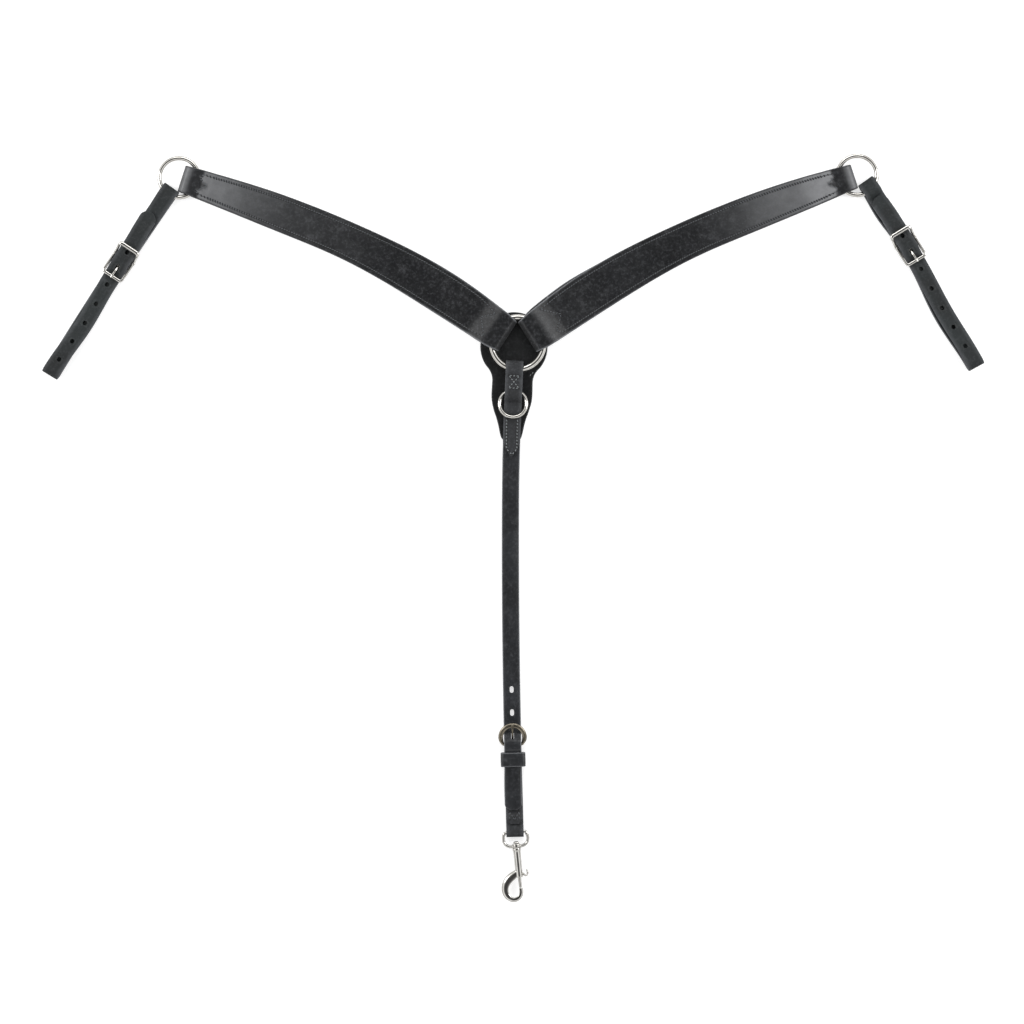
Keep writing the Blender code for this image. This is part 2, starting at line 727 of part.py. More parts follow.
def tab_heights():
    """Heights at the drop buckle and along the tab, whose back ply leaves room for the keeper under it."""
    base = KEEPER_PLY + GAP
    heights = {"back": base + TAB_PLY / 2, "thin": base + SKIVED / 2}
    heights["bar"] = base + SKIVED + GAP + DROP_BAR / 2
    heights["over_bar"] = heights["bar"] + DROP_BAR / 2 + GAP + SKIVED / 2
    heights["crest"] = heights["over_bar"] + SKIVED / 2 + GAP + PLY / 2
    heights["front"] = heights["back"] + TAB_PLY + GAP
    heights["front_top"] = heights["front"] + TAB_PLY + GAP
    heights["billet"] = heights["front"] + TAB_PLY / 2 + GAP + PLY / 2
    heights["eye"] = heights["back"] + TAB_PLY / 2 + GAP + EYE_WIRE / 2
    heights["over_eye"] = heights["eye"] + EYE_WIRE / 2 + GAP + TAB_PLY / 2
    return heights


def drop_path():
    """From the pointed front end, over the small ring and round the centre ring, down to the billet's tip."""
    low, second = ply_height(0), ply_height(1)
    over_center = low + PLY + CENTER_WIRE + 2 * GAP
    fold = (over_center - low) / 2
    wire_far = CENTER_BORE / 2 + CENTER_WIRE + GAP
    pocket_top = PLY + GAP + SMALL_WIRE / 2 + POCKET_RADIUS + PLY / 2
    bar = DROP_BAR_AT
    height = tab_heights()
    return rounded_path([
        (DROP_POINT, second, 0, PLY),
        (SMALL_RING_AT + POCKET_FRONT + POCKET_RAMP, second, 2.5, PLY),
        (SMALL_RING_AT + POCKET_FRONT, pocket_top, 5.5, PLY),
        (SMALL_RING_AT - POCKET_BACK, pocket_top, 5.5, PLY),
        (VALLEY_AT, VALLEY_LOW, 6.5, PLY),
        (wire_far + 0.8, over_center, 2.5, PLY),
        (DROP_REACH + PLY / 2, over_center, fold, PLY),
        (DROP_REACH + PLY / 2, low, fold, PLY),
        (bar - DROP_RISE, low, 8, PLY),
        (bar - DROP_CREST, height["crest"], 5, PLY),
        (bar + 5.2, height["crest"], 4, PLY),
        (bar + KEEPER_AT - 0.6, height["billet"], 4, PLY),
        (bar + BILLET_PAST_BAR, height["billet"], 0, PLY),
    ], longest=18.0)


def guard_outline():
    """Half circle behind the ring, drawn in to a neck and rounded off at the tail."""
    half = []
    for i in range(13):
        angle = radians(180 - 10.5 * i)
        half.append((GUARD_ROUND_CENTER + GUARD_ROUND * cos(angle), GUARD_ROUND * sin(angle)))
    shoulder = half[-1]
    for i in range(1, 8):
        t = i / 8
        ease = 1 - (1 - t) ** 2.2
        along = shoulder[0] + (GUARD_NECK_START - shoulder[0]) * t
        half.append((along, shoulder[1] + (GUARD_NECK - shoulder[1]) * ease))
    half += [(GUARD_NECK_START, GUARD_NECK), (GUARD_NECK_END, GUARD_NECK)]
    for i in range(1, 9):
        t = i / 8
        along = GUARD_NECK_END + (GUARD_LENGTH - GUARD_NECK_END) * t
        half.append((along, GUARD_NECK + (GUARD_TIP - GUARD_NECK) * smoothstep(0, 1, t)))
    half.append((GUARD_LENGTH + 1.5, GUARD_TIP - 3))
    return [(x, y + GUARD_SHIFT) for x, y in half] + [(x, GUARD_SHIFT - y) for x, y in half[:0:-1]]


def build_drop(root):
    track = drop_track()
    half = STRAP_WIDTH / 2
    owner = body("drop", Matrix.Translation((0, 0, CENTER_RING_HEIGHT)), root)
    upper = track.frame(0)
    piece("ring_guard", plate(guard_outline(), 0, PLY), "harness_leather", owner, upper)
    path = drop_path()
    start_tip = point_tip(half, DROP_POINT_TAPER)

    def lift(place):
        return drop_lift_along((upper.inverted() @ place.to_3d()).x)

    strap = ribbon(track, path, lambda s: half, lift, start_tip, oval_tip(half, 5, 0.7))
    strap = piece("drop_strap", strap, "harness_leather", owner)
    bar = DROP_BAR_AT
    height = tab_heights()
    hole = bar - DROP_HOLE_FROM_BAR
    over_bar = height["over_bar"] + SKIVED / 2 + GAP / 2
    for i in range(-2, 2):
        low = -5 if i < 1 else over_bar
        spot = track.frame(hole + HOLE_PITCH * i)
        combine(strap, "DIFFERENCE", slot_cutter(0, HOLE_LENGTH, HOLE_WIDTH, low, 30), spot)
    build_small_ring(track, owner)
    build_drop_buckle(track, owner, height)
    build_tab(track, owner, height)
    build_snap(track, owner, height)
    return track


def build_small_ring(track, owner):
    """The ring's top wire lies in the pocket, its lower wire on the strap's front ply."""
    radius = (SMALL_BORE + SMALL_WIRE) / 2
    top_height = LIFT + PLY + GAP + SMALL_WIRE / 2
    low_height = LIFT + 2 * (PLY + GAP) + SMALL_WIRE / 2
    tilt = asin((low_height - top_height) / (2 * radius))
    pivot = track.frame(SMALL_RING_AT, top_height)
    hinge = body("small_ring_hinge", pivot, owner)
    frame = pivot @ Matrix.Rotation(-tilt, 4, "Y") @ Matrix.Translation((radius, 0, 0))
    piece("small_ring", ring_mesh(SMALL_BORE, SMALL_WIRE, 32, 8), "nickel_plate", hinge, frame)


def drop_frame_mesh(height):
    """Horseshoe frame: a round heel bar and a flat bow. X runs from the bar up the strap."""
    bow, half = DROP_FRAME_REACH, DROP_FRAME_HALF
    heel = STRAP_WIDTH / 2 + 2 * GAP
    rise = bow - half
    side_run = [(0, heel), (1.0, heel + 1.0), (rise * 0.55, half - 0.8)]
    arc = [pi / 2 - pi * k / 12 for k in range(13)]
    plan = [(0, 0)] + side_run + [(rise + half * cos(a), half * sin(a)) for a in arc]
    plan += [(x, -y) for x, y in side_run[::-1]]
    points, sizes = [], []
    for x, y in plan:
        t = smoothstep(0.5, 6, x)
        points.append(Vector((x, y, height["bar"] + DROP_FRAME_SLOPE * x)))
        sizes.append((DROP_BAR / 2 * (1 - t) + DROP_FRAME_FLAT / 2 * t,
                      DROP_BAR / 2 * (1 - t) + DROP_FRAME_THICK / 2 * t))
    return tube(points, sizes, Vector((0, 0, 1)), closed=True, sides=10)


def build_drop_buckle(track, owner, height):
    """The buckle faces up the strap, so its axes are the strap's turned half round."""
    at_bar = track.frame(DROP_BAR_AT) @ Matrix.Rotation(pi, 4, "Z")
    piece("drop_buckle_frame", drop_frame_mesh(height), "brassy_plate", owner, at_bar, CAST_CREASE)
    hinge = body("drop_tongue", at_bar @ Matrix.Translation((0, 0, height["bar"])), owner)
    bow_top = height["bar"] + DROP_FRAME_SLOPE * (DROP_FRAME_REACH + DROP_FRAME_FLAT / 2) + DROP_FRAME_THICK / 2
    lie = bow_top + GAP + TONGUE_THICK / 2
    reach = DROP_FRAME_REACH + TONGUE_PAST_FRAME
    tongue = tongue_mesh(DROP_BAR, height["bar"], reach, lie, radians(DROP_TONGUE_SLOPE))
    piece("drop_buckle_tongue", tongue, "brassy_plate", hinge, at_bar)


def build_tab(track, owner, height):
    bar = DROP_BAR_AT
    end = bar + TAB_END
    half = STRAP_WIDTH / 2
    fold = DROP_BAR / 2 + GAP + SKIVED / 2
    bar_fold = (height["over_bar"] - height["thin"]) / 2
    eye_fold = (height["over_eye"] - height["back"]) / 2
    path = rounded_path([
        (bar + TAB_FRONT_END, height["front_top"], 0, TAB_PLY),
        (bar + TAB_FRONT_END - 7.5, height["front_top"], 4, TAB_PLY),
        (bar + TAB_FRONT_END - 13, height["front"], 4, TAB_PLY),
        (bar + KEEPER_AT - 2, height["front"], 4, TAB_PLY),
        (bar + 3.5, height["over_bar"], 3, SKIVED),
        (bar - fold, height["over_bar"], bar_fold, SKIVED),
        (bar - fold, height["thin"], bar_fold, SKIVED),
        (bar + 5, height["thin"], 8, SKIVED),
        (bar + KEEPER_AT + 2, height["back"], 8, TAB_PLY),
        (end - TAB_PLY / 2, height["back"], eye_fold, TAB_PLY),
        (end - TAB_PLY / 2, height["over_eye"], eye_fold, TAB_PLY),
        (end - 8.0, height["over_eye"], 2, TAB_PLY),
        (end - 13.5, height["front"], 2.5, TAB_PLY),
        (bar + TAB_FRONT_END - 5.5, height["front"], 0, TAB_PLY),
    ])
    tab = ribbon(track, path, lambda s: half, start_tip=oval_tip(half, half, 0.35))
    tab = piece("snap_tab", tab, "harness_leather", owner)
    slot = block((-5.5, -TONGUE_WIDE, -1), (6, TONGUE_WIDE, height["over_bar"] + SKIVED / 2 + GAP / 2))
    combine(tab, "DIFFERENCE", slot, track.frame(bar))
    start = bar + KEEPER_AT
    low, high = height["back"] - TAB_PLY / 2 - GAP, height["billet"] + PLY / 2 + GAP
    room = half + KEEPER_SIDE_ROOM
    hinge = body("keeper", track.frame(start), owner)
    loops = []
    for grow, along in ((0, 0), (KEEPER_PLY, 0), (KEEPER_PLY, KEEPER_LENGTH), (0, KEEPER_LENGTH)):
        loops.append(rounded_rectangle(room + grow, low - grow, high + grow, 1.5 + grow, along))
    bm = bmesh.new()
    rings = [[bm.verts.new(v) for v in loop] for loop in loops]
    skin(bm, rings, closed=True)
    piece("drop_keeper", bm, "harness_leather", hinge, track.frame(start))


def rounded_rectangle(half, low, high, radius, along):
    points = []
    for y, z, start in ((half - radius, high - radius, 0), (radius - half, high - radius, 90),
                        (radius - half, low + radius, 180), (half - radius, low + radius, 270)):
        for k in range(4):
            angle = radians(start + 30 * k)
            points.append(Vector((along, y + radius * cos(angle), z + radius * sin(angle))))
    return points


def eye_mesh():
    """The swivel eye: a round bar in the tab, two cheeks and a hub bored for the stem. X runs down the shaft."""
    half, wire = EYE_HALF, EYE_WIRE / 2
    hub = (EYE_HUB_FROM + EYE_HUB_TO) / 2
    plan = [(0, -half + 3), (0, 0), (0, half - 3), (0.9, half - 0.9), (3, half), (hub - 5.5, half)]
    plan += [(hub - 2.2, half - 2), (hub + 0.2, half - 5.8), (hub + 0.4, 4), (hub + 0.4, -4)]
    plan += [(hub + 0.2, 5.8 - half), (hub - 2.2, 2 - half), (hub - 5.5, -half), (3, -half), (0.9, 0.9 - half)]
    points = [Vector((x, y, 0)) for x, y in plan]
    return tube(points, [(wire, wire)] * len(points), Vector((0, 0, 1)), closed=True, sides=10)


def hook_path():
    """Middle of the hook, from the barrel round to the tip under the bolt. X runs down the shaft."""
    knots = [
        (BARREL_TO - 6, -1.6), (BARREL_TO - 2.2, -6.8), (BARREL_TO + 1.8, -12), (BARREL_TO + 7.8, -HOOK_LEFT + 0.9),
        (HOOK_BOTTOM - 9.4, -HOOK_LEFT), (HOOK_BOTTOM - 3.4, -HOOK_LEFT + 2.4), (HOOK_BOTTOM, -9.5),
        (HOOK_BOTTOM - 0.5, -4.6), (HOOK_BOTTOM - 3.6, -1), (HOOK_BOTTOM - 8, 0.5), (BOLT_TO + GAP, 0.3),
    ]
    knots = [Vector((x, y, 0)) for x, y in knots]
    points = []
    for i in range(len(knots) - 1):
        before, start = knots[max(i - 1, 0)], knots[i]
        end, after = knots[i + 1], knots[min(i + 2, len(knots) - 1)]
        for k in range(2):
            t = k / 2
            points.append(0.5 * (
                2 * start + (end - before) * t + (2 * before - 5 * start + 4 * end - after) * t**2
                + (3 * start - before - 3 * end + after) * t**3
            ))
    return points + [knots[-1]]


def build_snap(track, owner, height):
    eye_at = DROP_BAR_AT + TAB_END - TAB_PLY - GAP - EYE_WIRE / 2 - 0.7
    frame = track.frame(eye_at, height["eye"]) @ Matrix.Rotation(radians(SNAP_SKEW), 4, "Z")
    eye = body("snap_eye_hinge", frame, owner)
    eye_piece = piece("snap_eye", eye_mesh(), "nickel_plate", eye, frame, CAST_CREASE)
    combine(eye_piece, "UNION", turned([(EYE_HUB_FROM, EYE_HUB - 0.6), (EYE_HUB_FROM + 0.6, EYE_HUB),
                                        (EYE_HUB_TO - 0.6, EYE_HUB), (EYE_HUB_TO, EYE_HUB - 0.6)], 16), frame)
    combine(eye_piece, "DIFFERENCE",
            turned([(EYE_HUB_FROM - 3, STEM / 2 + GAP), (EYE_HUB_TO + 3, STEM / 2 + GAP)], 16), frame)
    swivel = body("snap_swivel", frame, eye)
    build_snap_body(frame, swivel)
    slide = body("snap_slide", frame @ Matrix.Translation((BOLT_FROM, 0, 0)), swivel)
    bolt = piece("snap_bolt", turned([(BOLT_FROM, BOLT / 2), (BOLT_TO - 0.7, BOLT / 2), (BOLT_TO, BOLT / 2 - 0.6)], 12),
                 "nickel_plate", slide, frame, CAST_CREASE)
    combine(bolt, "UNION", block((KNOB_FROM, 0, -KNOB_NECK / 2),
                                 (KNOB_FROM + KNOB_LENGTH, BARREL / 2 + 1.5, KNOB_NECK / 2)), frame)
    pad = [Vector((KNOB_FROM - 0.7 + (KNOB_LENGTH + 1.4) * i / 6, BARREL / 2 + GAP + 2.1, 0)) for i in range(7)]
    swell = [(1.0, 1.4), (1.8, 2.4), (1.6, 2.6), (1.5, 2.6), (1.6, 2.6), (1.8, 2.4), (1.0, 1.4)]
    combine(bolt, "UNION", tube(pad, swell, Vector((0, 0, 1)), sides=10), frame)
    build_spring(frame, swivel)
    return frame


def build_snap_body(frame, owner):
    head_from = EYE_HUB_FROM - GAP - STEM_HEAD_LENGTH
    profile = [
        (head_from, STEM_HEAD / 2 - 1.2), (head_from + 1, STEM_HEAD / 2 - 0.2), (EYE_HUB_FROM - GAP, STEM_HEAD / 2),
        (EYE_HUB_FROM - GAP, STEM / 2), (EYE_HUB_TO + GAP, STEM / 2),
        (EYE_HUB_TO + GAP, COLLAR / 2 - 0.6), (EYE_HUB_TO + GAP + 0.8, COLLAR / 2),
        (EYE_HUB_TO + GAP + COLLAR_LENGTH - 0.8, COLLAR / 2), (EYE_HUB_TO + GAP + COLLAR_LENGTH, COLLAR / 2 - 0.9),
        (BARREL_FROM, BARREL / 2), (BARREL_TO, BARREL / 2),
    ]
    snap = piece("snap_body", turned(profile, 16), "nickel_plate", owner, frame, CAST_CREASE)
    points = hook_path()
    count = len(points) - 1
    widths = width_profile(HOOK_WIDTHS)
    sizes = []
    for i in range(count + 1):
        size = widths(i / count)
        sizes.append((size, min(size, HOOK_DEPTH / 2)))
    combine(snap, "UNION", tube(points, sizes, Vector((0, 0, 1)), sides=10), frame)
    bore = turned([(BORE_FROM, BORE / 2), (BARREL_TO + 4, BORE / 2)], 16)
    combine(snap, "DIFFERENCE", bore, frame)
    slot_from = KNOB_FROM - BOLT_TRAVEL - GAP
    slot_to = KNOB_FROM + KNOB_LENGTH + GAP
    slot = block((slot_from, 0, -KNOB_NECK / 2 - GAP), (slot_to, BARREL, KNOB_NECK / 2 + GAP))
    combine(snap, "DIFFERENCE", slot, frame)


def build_spring(frame, owner):
    steps = 8 * SPRING_TURNS
    low, high = BORE_FROM + GAP + SPRING_WIRE / 2, BOLT_FROM - GAP - SPRING_WIRE / 2
    points = []
    for i in range(steps + 1):
        angle = 2 * pi * SPRING_TURNS * i / steps
        along = low + (high - low) * i / steps
        points.append(Vector((along, SPRING_COIL / 2 * cos(angle), SPRING_COIL / 2 * sin(angle))))
    wire = SPRING_WIRE / 2
    piece("snap_spring", tube(points, [(wire, wire)] * len(points), Vector((1, 0, 0)), sides=5), "spring_steel",
          owner, frame)


def clear_scene():
    for obj in list(bpy.data.objects):
        bpy.data.objects.remove(obj, do_unlink=True)


def centre_on_floor(top):
    """Moves the whole collar so that the origin is under the middle of its box."""
    bpy.context.view_layer.update()
    finished = bpy.context.evaluated_depsgraph_get()
    corners = [
        obj.matrix_world @ vertex.co
        for obj in bpy.data.objects if obj.type == "MESH" and not obj.hide_render
        for vertex in obj.evaluated_get(finished).data.vertices
    ]
    low = Vector([min(c[i] for c in corners) for i in range(3)])
    high = Vector([max(c[i] for c in corners) for i in range(3)])
    top.location = Vector((-(low.x + high.x) / 2, -(low.y + high.y) / 2, -low.z))
    bpy.context.view_layer.update()


def main():
    clear_scene()
    root = body("collar", Matrix.Identity(4))
    ring_frame = Matrix.Translation((0, 0, CENTER_RING_HEIGHT))
    piece("center_ring", ring_mesh(CENTER_BORE, CENTER_WIRE, 40, 10), "nickel_plate", root, ring_frame)
    for side in ("left", "right"):
        chest, track = build_chest(side, root)
        ring_place = build_side_ring(side, chest, track)
        build_tug(side, chest, ring_place)
    build_drop(root)
    centre_on_floor(root)


main()
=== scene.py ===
from math import acos, asin, ceil, copysign, cos, exp, pi, radians, sin, sqrt, tan

import bmesh
import bpy
from mathutils import Matrix, Vector


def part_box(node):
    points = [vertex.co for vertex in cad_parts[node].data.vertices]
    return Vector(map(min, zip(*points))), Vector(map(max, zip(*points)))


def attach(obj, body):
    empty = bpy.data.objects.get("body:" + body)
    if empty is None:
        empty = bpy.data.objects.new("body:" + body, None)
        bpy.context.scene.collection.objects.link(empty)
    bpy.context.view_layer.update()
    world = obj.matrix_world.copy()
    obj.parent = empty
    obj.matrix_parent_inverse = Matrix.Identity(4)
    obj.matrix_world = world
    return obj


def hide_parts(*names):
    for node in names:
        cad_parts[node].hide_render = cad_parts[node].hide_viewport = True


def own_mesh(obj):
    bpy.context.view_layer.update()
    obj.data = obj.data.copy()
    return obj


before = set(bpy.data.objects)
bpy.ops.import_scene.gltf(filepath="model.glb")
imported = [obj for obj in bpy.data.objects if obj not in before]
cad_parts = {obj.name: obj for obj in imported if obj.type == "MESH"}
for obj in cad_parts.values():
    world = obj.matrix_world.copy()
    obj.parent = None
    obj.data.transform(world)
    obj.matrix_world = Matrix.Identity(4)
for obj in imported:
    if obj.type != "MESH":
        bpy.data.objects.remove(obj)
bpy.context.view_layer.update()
print("frame loaded:", len(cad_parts), "nodes")

scene = bpy.context.scene
mm = 0.001
zUp = Vector((0, 0, 1))
ringLow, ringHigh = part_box("center_ring")
ringMiddle = (ringLow + ringHigh) / 2
# every shape is drawn in millimetres, from the floor under the middle of the centre ring
toWorld = Matrix.Translation((ringMiddle.x, ringMiddle.y, 0)) @ Matrix.Scale(mm, 4)


def pick(piece, names):
    # several values of a piece's dictionary at once
    return [piece[name] for name in names.split()]


# leather by thickness, the air that CAD leaves between two plies, and the narrow straps' width
stock = {"ply": 3.0, "skived": 1.6, "tabPly": 2.5, "keeperPly": 2.2, "gap": 0.3, "narrow": 19.05}
ply, skived, tabPly, keeperPly, gap = pick(stock, "ply skived tabPly keeperPly gap")
narrowHalf = stock["narrow"] / 2
centerRing = {"bore": 50.8, "wire": 6.35}
sideRing = {"bore": 38.1, "wire": 5.0}
smallRing = {"bore": 25.4, "wire": 4.0}


def linear(hexColor):
    parts = [int(hexColor[i:i + 2], 16) / 255 for i in (1, 3, 5)]
    return (*[p / 12.92 if p <= 0.04045 else ((p + 0.055) / 1.055) ** 2.4 for p in parts], 1.0)


def grey(value):
    return (value, value, value, 1.0)


def feed(node, inputs):
    # a socket is linked, anything else is the value itself
    for key, value in inputs.items():
        if isinstance(value, bpy.types.NodeSocket):
            node.id_data.links.new(value, node.inputs[key])
        else:
            node.inputs[key].default_value = value


def addNode(tree, kind, inputs, output=0, stops=(), ease=False, **settings):
    # gives the new node's output; stops are a colour ramp's (place, colour)
    node = tree.nodes.new("ShaderNode" + kind)
    for key, value in settings.items():
        setattr(node, key, value)
    if stops:
        node.color_ramp.interpolation = "EASE" if ease else "LINEAR"
        elements = node.color_ramp.elements
        while len(elements) < len(stops):
            elements.new(0.5)
        for element, (place, color) in zip(elements, stops):
            element.position = place
            element.color = color
    feed(node, inputs)
    return node.outputs[output]


def newMaterial(name, inputs):
    material = bpy.data.materials.new(name)
    material.use_nodes = True
    tree = material.node_tree
    shader = next(n for n in tree.nodes if n.type == "BSDF_PRINCIPLED")
    feed(shader, inputs)
    return material, tree, shader


leatherLook = {
    "dark": "#18191b", "light": "#25272a",  # the dyed grain, in blotches
    "paintedSheen": "#868789", "dust": "#606266", "cut": "#74767a",  # painted sheen, dust in the creases, and rubbed edges made paler still by a painted highlight
    "fleck": 0.2, "scuff": 0.18, "edge": 0.6,  # how much dust, wear and pale edge shows; the pale edge is rubbed wear and a painted highlight
    "rough": 0.33, "pore": 0.25, "grain": 0.3, "swell": 0.25, "IOR": 1.5,
}
# sizes in mm: a hide's blotches, creases, pores and scuffs. Real pores and creases are finer than this view's pixels,
# so both are drawn as coarse as they need to show
leatherScale = {"blotch": 55, "crease": 3.2, "pore": 1.8, "scuff": 9}


def strapLeather(name, **own):
    # drum-dyed harness leather, waxed and glazed on the grain side: near black, soft sheen, fine pores
    look = dict(leatherLook, **own)
    material, tree, shader = newMaterial(name, {"IOR": look["IOR"]})
    place = addNode(tree, "TexCoord", {}, "Object")
    blotch, crease, scuff = (
        addNode(tree, "TexNoise", {"Vector": place, "Scale": 1 / (leatherScale[mark] * mm), "Detail": detail,
                                   "Roughness": fine}, "Fac")
        for mark, detail, fine in (("blotch", 3, 0.55), ("crease", 4, 0.7), ("scuff", 6, 0.75)))
    pore = addNode(tree, "TexVoronoi", {"Vector": place, "Scale": 1 / (leatherScale["pore"] * mm)}, "Distance",
                   feature="SMOOTH_F1")
    edge, paintedSheen, dull = (addNode(tree, "Attribute", {}, "Fac", attribute_name=mark)
                         for mark in ("edge", "paintedSheen", "dull"))
    color = addNode(tree, "ValToRGB", {"Fac": blotch}, ease=True,
                    stops=[(0.32, linear(look["dark"])), (0.68, linear(look["light"]))])
    # painted sheen: the grain is made paler where a soft reflection would fall, more in some patches than in others
    patch = addNode(tree, "ValToRGB", {"Fac": scuff}, stops=[(0.3, grey(0.72)), (0.7, grey(1.0))])
    paintedSheenAmount = addNode(tree, "Math", {0: paintedSheen, 1: patch}, operation="MULTIPLY")
    flecks = addNode(tree, "ValToRGB", {"Fac": crease}, stops=[(0.5, grey(0.0)), (0.72, grey(look["fleck"]))])
    worn = addNode(tree, "ValToRGB", {"Fac": scuff}, stops=[(0.54, grey(0.0)), (0.74, grey(look["scuff"]))])
    # rubbed edges, made paler still as a painted highlight along the bevel
    rubbedAndHighlit = addNode(tree, "Math", {0: edge, 1: look["edge"]}, operation="MULTIPLY")
    for amount, tint in ((paintedSheenAmount, "paintedSheen"), (flecks, "dust"), (worn, "dust"), (rubbedAndHighlit, "cut")):
        color = addNode(tree, "Mix", {0: amount, 6: color, 7: linear(look[tint])}, 2, data_type="RGBA")
    # the glaze breaks where the ply is bent, so that a fold takes no bright line
    glazeAndSheen = addNode(tree, "ValToRGB", {"Fac": scuff},
                    stops=[(0.3, grey(look["rough"] - 0.06)), (0.7, grey(look["rough"] + 0.08))])
    rough = addNode(tree, "Mix", {0: dull, 6: glazeAndSheen, 7: grey(0.85)}, 2, data_type="RGBA")
    relief = {}
    for mark, height, depth in (("pore", pore, 0.25), ("grain", crease, 0.4), ("swell", blotch, 2.0)):
        relief["Normal"] = addNode(tree, "Bump", {"Strength": look[mark], "Distance": depth * mm, "Height": height,
                                                  **relief}, "Normal")
    feed(shader, {"Base Color": color, "Roughness": rough, **relief})
    return material


def bondedThread(name, color):
    # bonded nylon thread, twisted and waxed: a dull strand with a mark of its twist each 0.8 mm
    material, tree, shader = newMaterial(name, {"Base Color": linear(color), "Roughness": 0.55, "IOR": 1.53})
    place = addNode(tree, "TexCoord", {}, "Object")
    twist = addNode(tree, "TexNoise", {"Vector": place, "Scale": 1 / (0.8 * mm), "Detail": 2.0}, "Fac")
    bump = addNode(tree, "Bump", {"Strength": 0.3, "Distance": 0.1 * mm, "Height": twist}, "Normal")
    feed(shader, {"Normal": bump})
    return material


def tumbledMetal(name, low, high, rough, wavy):
    # tumbled bright: a mirror with a faint haze, 12 mm from cloud to cloud, and hairline scratches, which are
    # finer than a pixel and drawn 1.2 mm apart
    material, tree, shader = newMaterial(name, {"Metallic": 1.0, "Roughness": rough})
    place = addNode(tree, "TexCoord", {}, "Object")
    haze, scratches = (
        addNode(tree, "TexNoise", {"Vector": place, "Scale": 1 / (size * mm), "Detail": detail,
                                   "Roughness": fine}, "Fac")
        for size, detail, fine in ((12, 4, 0.6), (1.2, 3, 0.7)))
    color = addNode(tree, "ValToRGB", {"Fac": haze}, stops=[(0.35, linear(low)), (0.65, linear(high))], ease=True)
    worn = addNode(tree, "ValToRGB", {"Fac": scratches}, stops=[(0.4, grey(rough * 0.8)), (0.75, grey(rough * 1.5))])
    bump = addNode(tree, "Bump", {"Strength": wavy, "Distance": 0.1 * mm, "Height": haze}, "Normal")
    feed(shader, {"Base Color": color, "Roughness": worn, "Normal": bump})
    return material


harnessLeather = strapLeather("black waxed harness leather")
chestLeather = strapLeather("black glazed harness leather, chest",  # the deepest black, glazed hardest; the paler sheen towards its ends is painted
                            dark="#0d0e10", light="#17181a", cut="#85878b", scuff=0.22, fleck=0.25)
tugLeather = strapLeather("black waxed harness leather, tugs",  # a cooler batch of the same leather
                          dark="#0f1213", light="#1a1f20", scuff=0.1, fleck=0.14)
guardLeather = strapLeather("black skirting leather",
                            dark="#0b0c0d", light="#131415", cut="#303236", scuff=0.08, fleck=0.1,
                            rough=0.38, IOR=1.4)
liningLeather = strapLeather("black lining leather, matt",
                             dark="#171718", light="#212122", fleck=0.3, rough=0.6, pore=0.4)
blackThread = bondedThread("black bonded nylon thread", "#46494d")
greyThread = bondedThread("grey bonded nylon thread", "#74787a")
awlHoleShade = bondedThread("awl hole, painted shade", "#030304")  # a near-black slit between two stitches: painted shade for the shadow inside the awl hole
nickelPlate = tumbledMetal("nickel-plated steel", "#cbc8c2", "#dcdad5", 0.1, 0.15)
nickelCasting = tumbledMetal("nickel-plated zinc casting", "#c6c4bf", "#d8d6d2", 0.13, 0.3)
agedPlate = tumbledMetal("aged brassy plate", "#6a6458", "#8a8375", 0.28, 0.4)
springSteel = tumbledMetal("spring steel", "#a0a0a2", "#b4b4b6", 0.3, 0.1)
print("leathers, threads and metals mixed")


def easeStep(low, high, value):
    t = min(max((value - low) / (high - low), 0.0), 1.0)
    return t * t * (3 - 2 * t)


def easeBetween(low, high, leave, arrive, t):
    # from low to high, leaving and arriving at the given slopes
    return (low * (1 + 2 * t) * (1 - t) ** 2 + leave * t * (1 - t) ** 2
            + high * t * t * (3 - 2 * t) - arrive * t * t * (1 - t))


def easedCurve(stations):
    # a smooth curve through stations of (place, value), level beyond the first and the last
    def slope(i):
        low, high = stations[max(i - 1, 0)], stations[min(i + 1, len(stations) - 1)]
        return (high[1] - low[1]) / (high[0] - low[0])

    def at(place):
        if place <= stations[0][0]:
            return stations[0][1]
        for i, ((a, low), (b, high)) in enumerate(zip(stations, stations[1:])):
            if place <= b:
                return easeBetween(low, high, slope(i) * (b - a), slope(i + 1) * (b - a), (place - a) / (b - a))
        return stations[-1][1]

    return at


def makePlan(start, heading, legs):
    # a strap's middle line on the floor: legs of (length, turn), where a leg that turns is an arc
    def walk(point, heading, length, turn, along):
        bend = turn * along / length
        chord = along if abs(bend) < 1e-9 else 2 * length / turn * sin(bend / 2)
        middle = heading + bend / 2
        return point + chord * Vector((cos(middle), sin(middle))), heading + bend

    laid, point = [], Vector(start)
    for length, turn in legs:
        laid.append((point, heading, length, turn))
        point, heading = walk(point, heading, length, turn, length)
    end = (point, heading)

    def at(along):
        if along < 0:
            return walk(*laid[0][:2], 1, 0, along)
        for leg in laid:
            if along <= leg[2]:
                return walk(*leg, along)
            along -= leg[2]
        return walk(*end, 1, 0, along)

    return at


def planFrame(plan, along, height=0.0):
    point, heading = plan(along)
    return Matrix.Translation((point.x, point.y, height)) @ Matrix.Rotation(heading, 4, "Z")


def stackHeight(count):
    # the middle of a ply that has that many plies under it
    return count * (ply + gap) + ply / 2


